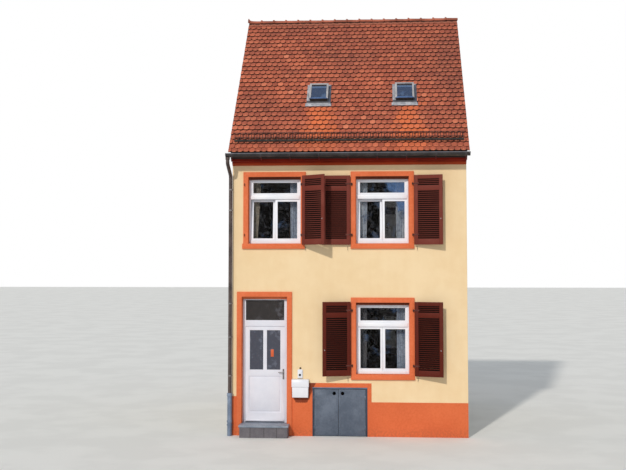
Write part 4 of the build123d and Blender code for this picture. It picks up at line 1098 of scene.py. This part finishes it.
def lay_slope(name, side, holes, seed):
    dice = random.Random(seed)
    bm = bmesh.new()
    tone = bm.verts.layers.float.new("tone")
    washed = bm.verts.layers.float.new("washed")
    laid = bm.verts.layers.float_vector.new("laid")
    across = round((roof_right - roof_left) / tile_width)
    pitch = (roof_right - roof_left) / across
    for row in range(-1, course_count):
        start = roof_left + (0 if row % 2 else -pitch / 2)
        for i in range(across + 1):
            x = start + (i + 0.5) * pitch
            if x - pitch / 2 > roof_right - 0.01:
                continue
            known = len(bm.verts)
            place, foot = tile_place(x, row, dice)
            stamp(bm, tile_mesh, place)
            bm.verts.ensure_lookup_table()
            shade = min(1.0, max(0.0, dice.gauss(0.5, 0.17)))
            clean = rain_washed(x, foot, dice) if holes else 0.0
            for vert, own in zip(bm.verts[known:], tile_mesh.vertices):
                vert[tone] = shade
                vert[washed] = clean
                vert[laid] = own.co
    cut_beyond(bm, (roof_left, 0, 0), (-1, 0, 0))
    cut_beyond(bm, (roof_right, 0, 0), (1, 0, 0))
    for x in holes:
        cut_hole(bm, x, 0.045)
    cut_beyond(bm, (0, slope_length, 0), (0, 1, 0))
    open_edges = [edge for edge in bm.edges if edge.is_boundary]
    bmesh.ops.holes_fill(bm, edges=open_edges, sides=0)
    bmesh.ops.transform(bm, matrix=slope_matrix(side), verts=bm.verts)
    replaced = "roof_tiles_front" if side < 0 else "roof_tiles_back"
    piece(bm, name, roof_clay, replaces=[replaced])


lay_slope("beavertails_front", -1, skylight_middles, 11)
lay_slope("beavertails_back", 1, (), 12)

# %% [markdown]
# The ridge is closed with half-round tiles laid end to end. Each tapers a little and slips under
# the rolled collar of the next one. The tile starts as a half circle of edges, is drawn out along
# the ridge in steps of different size, and gets its wall from solidify. The first one, at the
# left gable, has an upturned end. Under them all runs a bed of mortar, a little uneven by hand.
# Its upper part, under the tiles, is painted dark as painted shade, and its foot is red like the
# clay.

# %% Ridge tiles
ridge_low, ridge_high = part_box("ridge_tiles")
ridge_length = ridge_high.x - ridge_low.x
ridge_cover, ridge_wall = 0.310, 0.014
ridge_lap, ridge_seat = 0.012, 0.012
ridge_count = round(ridge_length / ridge_cover)
ridge_pitch = ridge_length / ridge_count
apex = eave_z + eave_y * math.tan(slope)


def ridge_pattern(stations):
    """A half-round shell through stations of (place along the ridge, radius)."""
    bm = bmesh.new()
    sideways = Matrix.Rotation(math.pi / 2, 3, "Y")
    start = bmesh.ops.create_circle(bm, radius=1.0, segments=24)["verts"]
    bmesh.ops.rotate(bm, cent=(0, 0, 0), matrix=sideways, verts=start)
    low = [vert for vert in start if vert.co.z < -0.1]
    bmesh.ops.delete(bm, geom=low, context="VERTS")
    loop = [edge for edge in bm.edges if edge.is_valid]
    place, radius = stations[0]
    bmesh.ops.scale(bm, vec=(1, radius, radius), verts=bm.verts)
    bmesh.ops.translate(bm, vec=(place, 0, 0), verts=bm.verts)
    for (place, radius), (before, smaller) in zip(stations[1:], stations):
        grown = bmesh.ops.extrude_edge_only(bm, edges=loop)["geom"]
        verts = verts_of(grown)
        loop = [item for item in grown if isinstance(item, bmesh.types.BMEdge)]
        bmesh.ops.scale(bm, vec=(1, radius / smaller, radius / smaller), verts=verts)
        bmesh.ops.translate(bm, vec=(place - before, 0, 0), verts=verts)
    bmesh.ops.recalc_face_normals(bm, faces=bm.faces)
    bmesh.ops.solidify(bm, geom=bm.faces[:], thickness=ridge_wall)
    bmesh.ops.recalc_face_normals(bm, faces=bm.faces)
    return mesh_of(bm, "ridge_pattern")


collar = [(0.0, 0.086), (0.004, 0.091), (0.036, 0.091), (0.042, 0.085), (0.050, 0.071)]
horn = [(0.0, 0.135), (0.010, 0.128), (0.026, 0.100), (0.060, 0.080), (0.120, 0.072)]
tail = (ridge_pitch + ridge_lap, 0.066)
barrel = ridge_pattern([*collar, (ridge_pitch * 0.6, 0.068), tail])
upturned = ridge_pattern([*horn, (ridge_pitch * 0.6, 0.069), tail])
dice = random.Random(5)
bm = bmesh.new()
for i in range(ridge_count):
    turn = Matrix.Rotation(math.radians(dice.uniform(-1.2, 1.2)), 4, "X")
    height = apex - ridge_seat + dice.uniform(-0.003, 0.003)
    place = Matrix.Translation((ridge_low.x + i * ridge_pitch, 0, height))
    stamp(bm, barrel if i else upturned, place @ turn)
piece(bm, "ridge_barrels", ridge_clay, replaces=["ridge_tiles"], sharp=50)

# %% Mortar under the ridge
bed_width, bed_rise, bed_fall = 0.150, 0.034, 1.35
shade_depth = 0.040
bm = bmesh.new()
bed = bmesh.ops.create_grid(bm, x_segments=180, y_segments=8, size=0.5)["verts"]
bmesh.ops.scale(bm, vec=(ridge_length - 0.02, bed_width, 1), verts=bed)
for vert in bed:
    aside = abs(vert.co.y)
    slack = 0.006 * math.sin(37 * vert.co.x) + 0.004 * math.sin(91 * vert.co.x + 2)
    vert.co.z = apex + bed_rise - aside * bed_fall + (slack if aside > 0.04 else 0)
bmesh.ops.solidify(bm, geom=bm.faces[:], thickness=0.02)
bmesh.ops.recalc_face_normals(bm, faces=bm.faces)
# Faces high on the bed take the dark mortar: painted shade under the barrels.
for face in bm.faces:
    face.material_index = int(face.calc_center_median().z < apex - shade_depth)
piece(bm, "ridge_bed", [mortar, ridge_mortar], sharp=60)

# %% [markdown]
# At both gables the tiles stand out over the wall by a hand's breadth. A fillet of mortar closes
# the gap beneath them from eave to ridge. It is a long bar, cut into short lengths that are
# pushed about a little, and laid along each slope.

# %% Verge mortar
fillet_wide, fillet_high = 0.040, 0.046
fillet_inset, fillet_drop = 0.031, 0.020
fillet_short, fillet_lift = 0.16, 0.05
verge_length = (eave_y - 0.02) / math.cos(slope)
bm = bmesh.new()
for side in (-1, 1):
    for edge, wall in ((roof_left, 1), (roof_right, -1)):
        known = len(bm.verts)
        strip = bmesh.ops.create_cube(bm, size=1)["verts"]
        size = (fillet_wide, verge_length - fillet_short, fillet_high)
        bmesh.ops.scale(bm, vec=size, verts=strip)
        x = -side * (edge + wall * fillet_inset)
        middle = (x, verge_length / 2 + fillet_lift, -fillet_drop)
        bmesh.ops.translate(bm, vec=middle, verts=strip)
        long_edges = [
            item for item in {item for vert in strip for item in vert.link_edges}
            if abs(item.verts[0].co.y - item.verts[1].co.y) > 1
        ]
        bmesh.ops.subdivide_edges(bm, edges=long_edges, cuts=60, use_grid_fill=True)
        bm.verts.ensure_lookup_table()
        verts = bm.verts[known:]
        for vert in verts:
            vert.co.x += dice.uniform(-0.003, 0.003)
            vert.co.z += dice.uniform(-0.003, 0.003)
        bmesh.ops.transform(bm, matrix=slope_matrix(side), verts=verts)
bmesh.ops.recalc_face_normals(bm, faces=bm.faces)
piece(bm, "verge_mortar", mortar, sharp=60)

# %% [markdown]
# The snow guard is a low iron fence: round bars between a foot rail and a top rail, with a
# thinner rail half way up. The foot rail is painted almost black as painted shade, and the rest
# is rusty. Each bar is a small circle drawn upwards, so that a fence of eighty bars stays light.

# %% Snow guard
guard_low, guard_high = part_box("snow_guard")
guard_middle = (guard_low + guard_high) / 2
guard_first, guard_last = guard_low.x + 0.02, guard_high.x - 0.02
bar_pitch, bar_radius = 0.0613, 0.0078
guard_bars = round((guard_last - guard_first) / bar_pitch)
bm = bmesh.new()
for i in range(guard_bars + 1):
    x = guard_first + (guard_last - guard_first) * i / guard_bars
    rod = bmesh.ops.create_cone(
        bm, cap_ends=True, segments=8, radius1=bar_radius, radius2=bar_radius,
        depth=guard_high.z - guard_low.z,
    )["verts"]
    middle = (x + dice.uniform(-0.002, 0.002), guard_middle.y, guard_middle.z)
    bmesh.ops.translate(bm, vec=middle, verts=rod)
for z, high, deep, finish in (
    (guard_low.z + 0.018, 0.040, 0.009, 1),
    (guard_middle.z - 0.007, 0.014, 0.0035, 0),
    (guard_high.z - 0.018, 0.018, 0.007, 0),
):
    low = (guard_low.x, guard_middle.y - deep, z)
    bar(bm, low, (guard_high.x, guard_middle.y + deep, z + high), 0.002, finish=finish)
piece(bm, "snow_fence", [guard_iron, shaded_foot_rail_iron], replaces=["snow_guard"])

# %% [markdown]
# A louvred leaf is two stiles, three rails and a ladder of slats let into the stiles. Real slats
# are planed with round edges and set by hand, so each leans a degree or two more or less than the
# next. The leaf is made flat, with x along it from its hinge line and y out of the front, and
# then swung to where its joint stands in the photograph. Its stiles carry upright grain and the
# rest has grain along, by two finishes on one piece.

# %% How a leaf stands
joints = {joint["child"]: joint for joint in frame["joints"]}
leaf_start, leaf_end = 0.036, 0.666
stile_width = 0.080
half_leaf = 0.0175
foot_rail, lock_rail, top_rail = 0.132, 0.104, 0.076
upper_slats = 0.156
slat_depth, slat_thick = 0.053, 0.0100
slat_pitch, slat_lean = 0.044, 57


def slat_heights(low, high):
    count = round((high - low) / slat_pitch)
    return [low + (high - low) * (i + 0.5) / count for i in range(count)]


def leaf_turn(joint, side):
    """From the flat leaf to where it stands, by its joint's axis and range."""
    angle = math.radians(180 + joint["range_deg"][0])
    along = Vector((side * math.cos(angle), -math.sin(angle), 0))
    out = Vector((-side * math.sin(angle), -math.cos(angle), 0))
    turned = Matrix((along, out, Vector((0, 0, 1)))).transposed().to_4x4()
    pivot = Vector(joint["pos_m"])
    pivot.z = 0
    return Matrix.Translation(pivot) @ turned


def hang(bm, turn, name, material, body, replaces=()):
    """Swings what was made on the flat leaf to its place, and gives it to the leaf's body."""
    bmesh.ops.transform(bm, matrix=turn, verts=bm.verts)
    bmesh.ops.recalc_face_normals(bm, faces=bm.faces)
    piece(bm, name, material, body, replaces, 40)


# %% A leaf and its slats
def shutter_leaf(node, body, turn, stains, dice):
    low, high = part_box(node)
    foot, top = low.z, high.z
    lock_top = top - top_rail - upper_slats
    lock_foot = lock_top - lock_rail
    inner, outer = leaf_start + stile_width, leaf_end - stile_width
    thin = half_leaf - 0.0006
    bm = bmesh.new()
    shelter = bm.verts.layers.float.new("shelter")
    for x0, x1 in ((leaf_start, inner), (outer, leaf_end)):
        bar(bm, (x0, -half_leaf, foot), (x1, half_leaf, top), 0.0035)
    for z0, z1 in ((foot, foot + foot_rail), (lock_foot, lock_top), (top - top_rail, top)):
        bar(bm, (inner, -thin, z0), (outer, thin, z1), 0.0025, finish=1)
    deep, thick = slat_depth / 2, slat_thick / 2
    heights = slat_heights(foot + foot_rail, lock_foot) + slat_heights(lock_top, top - top_rail)
    for z in heights:
        lean = Matrix.Rotation(math.radians(slat_lean + dice.gauss(0, 0.9)), 4, "X")
        seat = Matrix.Translation((0, dice.uniform(-0.001, 0.001), z)) @ lean
        slat_low, slat_high = (inner - 0.005, -deep, -thick), (outer + 0.005, deep, thick)
        for vert in bar(bm, slat_low, slat_high, 0.0040, 2, seat, 1):
            # How deep each point lies behind the next slat, for the painted shade.
            place = seat.inverted() @ vert.co
            from_edge = place.y / deep if place.z < 0 else -place.y / deep
            vert[shelter] = 0.5 - 0.5 * from_edge
    hang(bm, turn, "louvred_" + node, stains, body, [node])


# %% [markdown]
# A strap with its eye carries the leaf near its foot and near its top: a flat bar on the face of
# the stile with three rivets, cranked round to a ring on the pintle. A turned knob on a short
# stalk, low on the free stile, is there to pull the leaf shut.

# %% Irons and knobs
strap_inset, strap_height, strap_thick = 0.205, 0.034, 0.004
strap_start, strap_end = 0.029, 0.140
rivet_places, rivet_radius = (0.052, 0.088, 0.124), 0.0055
eye_inner, eye_outer = 0.00706, 0.013
knob_inset, knob_height = 0.042, 0.570
knob_radius, stalk_radius, stalk_length = 0.012, 0.006, 0.012


def shutter_irons(node, body, turn):
    low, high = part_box(node)
    face = half_leaf + strap_thick
    bm = bmesh.new()
    for z in (low.z + strap_inset, high.z - strap_inset):
        middle = z + strap_height / 2
        low_end, high_end = (strap_start, half_leaf, z), (strap_end, face, z + strap_height)
        bar(bm, low_end, high_end, 0.0012, finish=1)
        crank = Matrix.Translation((0.0185, 0.0110, middle)) @ Matrix.Rotation(
            math.atan2(0.020, 0.019), 4, "Z"
        )
        bar(bm, (-0.014, -0.0025, -0.017), (0.016, 0.0025, 0.017), 0.0012, 2, crank, 1)
        ring(bm, Vector((0, 0, 0)), eye_inner, eye_outer, z, z + strap_height)
        for x in rivet_places:
            head = bmesh.ops.create_uvsphere(
                bm, u_segments=12, v_segments=6, radius=rivet_radius
            )["verts"]
            bmesh.ops.scale(bm, vec=(1, 0.5, 1), verts=head)
            bmesh.ops.translate(bm, vec=(x, face, middle), verts=head)
    hang(bm, turn, "irons_" + node, [black_iron, stained_iron], body)


def shutter_knob(node, body, turn):
    low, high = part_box(node)
    x, z = leaf_end - knob_inset, low.z + knob_height
    bm = bmesh.new()
    knob = bmesh.ops.create_uvsphere(
        bm, u_segments=20, v_segments=12, radius=knob_radius
    )["verts"]
    bmesh.ops.scale(bm, vec=(1, 0.75, 1), verts=knob)
    bmesh.ops.translate(bm, vec=(x, half_leaf + stalk_length, z), verts=knob)
    foot = bmesh.ops.create_circle(
        bm, cap_ends=True, radius=stalk_radius, segments=16
    )["verts"]
    cap = list({face for vert in foot for face in vert.link_faces})
    lifted = verts_of(bmesh.ops.extrude_face_region(bm, geom=cap)["geom"])
    bmesh.ops.translate(bm, vec=(0, 0, stalk_length), verts=lifted)
    stalk = list(set(foot) | set(lifted))
    outwards = Matrix.Rotation(-math.pi / 2, 3, "X")
    bmesh.ops.rotate(bm, cent=(0, 0, 0), matrix=outwards, verts=stalk)
    bmesh.ops.translate(bm, vec=(x, half_leaf - 0.001, z), verts=stalk)
    hang(bm, turn, "knob_" + node, rail_steel, body)


# %% [markdown]
# Five leaves are hung: one at the upper left window, whose other leaf is gone, two at the upper
# right one and two downstairs, where the stain is less bleached. side is -1 for a leaf that is
# hung on the left of its window.

# %% Hang the leaves
for seed, (window, side, stains) in enumerate((
    ("upper_left_window_right", 1, upper_stain),
    ("upper_right_window_left", -1, upper_stain),
    ("upper_right_window_right", 1, upper_stain),
    ("lower_window_left", -1, lower_stain),
    ("lower_window_right", 1, lower_stain),
), 31):
    node, body = "shutter_" + window, window + "_shutter"
    turn = leaf_turn(joints[body], side)
    shutter_leaf(node, body, turn, stains, random.Random(seed))
    shutter_irons(node, body, turn)
    shutter_knob(node, body, turn)

# %% [markdown]
# Small things finish the door bay: a blank orange plate stuck on the right pane of the door, and
# a little black fitting on the wall above the bell.

# %% Plate and fitting
orange_plastic = joinery_paint(
    "orange_plastic", paint(226, 104, 52), paint(206, 90, 44), 0.35, 0.0002
)
plate_inset = 0.182
panes_low, panes_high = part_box("door_glass")
plate_x = panes_high.x - plate_inset
plate_foot, plate_top, plate_half = 1.716, 1.878, 0.033
bm = bmesh.new()
bar(
    bm, (plate_x - plate_half, panes_low.y - 0.003, plate_foot),
    (plate_x + plate_half, panes_low.y + 0.0005, plate_top), 0.0012,
)
piece(bm, "door_plate", orange_plastic, "front_door")

bm = bmesh.new()
fitting = bmesh.ops.create_uvsphere(bm, u_segments=20, v_segments=12, radius=0.021)["verts"]
bmesh.ops.scale(bm, vec=(1, 0.7, 0.9), verts=fitting)
fitting_x = (bell_low.x + bell_high.x) / 2 + 0.004
bmesh.ops.translate(bm, vec=(fitting_x, front_y - 0.008, bell_high.z + 0.028), verts=fitting)
piece(bm, "bell_fitting", bell_black)

# %% [markdown]
# Curtains are gathered cloth. Each starts as a fine grid hung from its rail, and its points are
# pushed into folds that are tight at the top and open towards the foot.

# %% Curtain cloth
def cloth(name, light, dark):
    weave = Finish(name, roughness=0.9)
    threads = weave.noise(600, 2, weave.stretched(1, 1, 0.3))
    soft = weave.noise(5, 3, weave.stretched(3, 3, 0.4))
    tone = weave.between(soft * 0.7 + threads * 0.3, 0.35, 0.65)
    weave.set("Base Color", weave.mix(tone, light, dark))
    weave.set("Alpha", weave.between(threads, 0.2, 0.8, 0.9, 1.0))
    weave.bump(threads, 0.0006, 0.5)
    weave.shader.inputs["Sheen Weight"].default_value = 0.3
    return weave.material


beige_cloth = cloth("beige_cloth", paint(196, 186, 168), paint(150, 140, 126))
blue_cloth = cloth("blue_cloth", paint(196, 208, 226), paint(150, 166, 190))
pale_cloth = cloth("pale_cloth", paint(222, 230, 240), paint(176, 190, 210))
grey_cloth = cloth("grey_cloth", paint(122, 122, 128), paint(88, 88, 94))

# %% Hang the curtains
folds = 6
fold_depth = 0.0098


def curtain(name, inner, outer, foot, top, y, material, taper, seed):
    """A gathered curtain from its outer edge at the reveal to its inner edge over the glass."""
    dice = random.Random(seed)
    upright = Matrix.Rotation(math.pi / 2, 3, "X")
    bm = bmesh.new()
    bmesh.ops.create_grid(bm, x_segments=96, y_segments=28, size=0.5)
    bmesh.ops.rotate(bm, cent=(0, 0, 0), matrix=upright, verts=bm.verts)
    phases = [dice.uniform(0, 2 * math.pi) for draw in range(3)]
    for vert in bm.verts:
        across = vert.co.x + 0.5
        down = 0.5 - vert.co.z
        narrow = 1 - taper * down**1.5
        x = outer + (inner - outer) * across * narrow
        turn = 2 * math.pi * folds * across
        wave = math.sin(turn + phases[0] + 0.5 * math.sin(2.2 * down + phases[1]))
        wave += 0.22 * math.sin(turn * 2.3 + phases[2])
        depth = fold_depth * (0.75 + 0.25 * down)
        vert.co = Vector((x, y + wave * depth, top + (foot - top) * down))
    flat_area = sum(face.calc_area() for face in bm.faces)
    length = top - foot
    width = flat_area / length
    made = piece(bm, name, material, sharp=180)
    return made


cloth_low, cloth_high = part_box("curtains")
cloth_y = (cloth_low.y + cloth_high.y) / 2
reveal_half, reveal_gap = 0.605, 0.015
curtain_reach = reveal_half - reveal_gap
below_sill, below_head = 0.050, 0.040
left_x, right_x = -1.653, 0.745
windows = {
    "upper_left": (left_x, upper_sill, upper_head),
    "upper_right": (right_x, upper_sill, upper_head),
    "lower": (right_x, lower_sill, lower_head),
}
cloths = {
    "upper_left_window_left_curtain": ("upper_left", -1, beige_cloth, 0.35, 0.24),
    "upper_left_window_right_curtain": ("upper_left", 1, blue_cloth, 0.05, 0.27),
    "upper_right_window_left_curtain": ("upper_right", -1, pale_cloth, 0.10, 0.26),
    "upper_right_window_right_curtain": ("upper_right", 1, pale_cloth, 0.05, 0.29),
    "lower_window_left_curtain": ("lower", -1, grey_cloth, 0.05, 0.24),
    "lower_window_right_curtain": ("lower", 1, blue_cloth, 0.02, 0.28),
}
for number, (name, (window, side, material, taper, width)) in enumerate(cloths.items()):
    centre, sill, head = windows[window]
    outer = centre + side * curtain_reach
    made = curtain(
        name, outer - side * width, outer, sill - below_sill, head - below_head, cloth_y,
        material, taper, 20 + number,
    )
    if number == 0:
        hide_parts("curtains")

# %% [markdown]
# The floor is a plain pale plane, far wider than the house, so that its edge never shows.

# %% Floor
bm = bmesh.new()
bmesh.ops.create_grid(bm, x_segments=1, y_segments=1, size=150)
floor_mesh = mesh_of(bm, "floor")
floor_finish = Finish("floor", roughness=0.9)
floor_finish.set(
    "Base Color",
    floor_finish.mix(floor_finish.between(floor_finish.noise(0.6, 4), 0.4, 0.6),
                     paint(236, 235, 232), paint(230, 229, 226)),
)
floor_mesh.materials.append(floor_finish.material)
floor = bpy.data.objects.new("floor", floor_mesh)
scene.collection.objects.link(floor)

# %% [markdown]

# %% Import json
import json
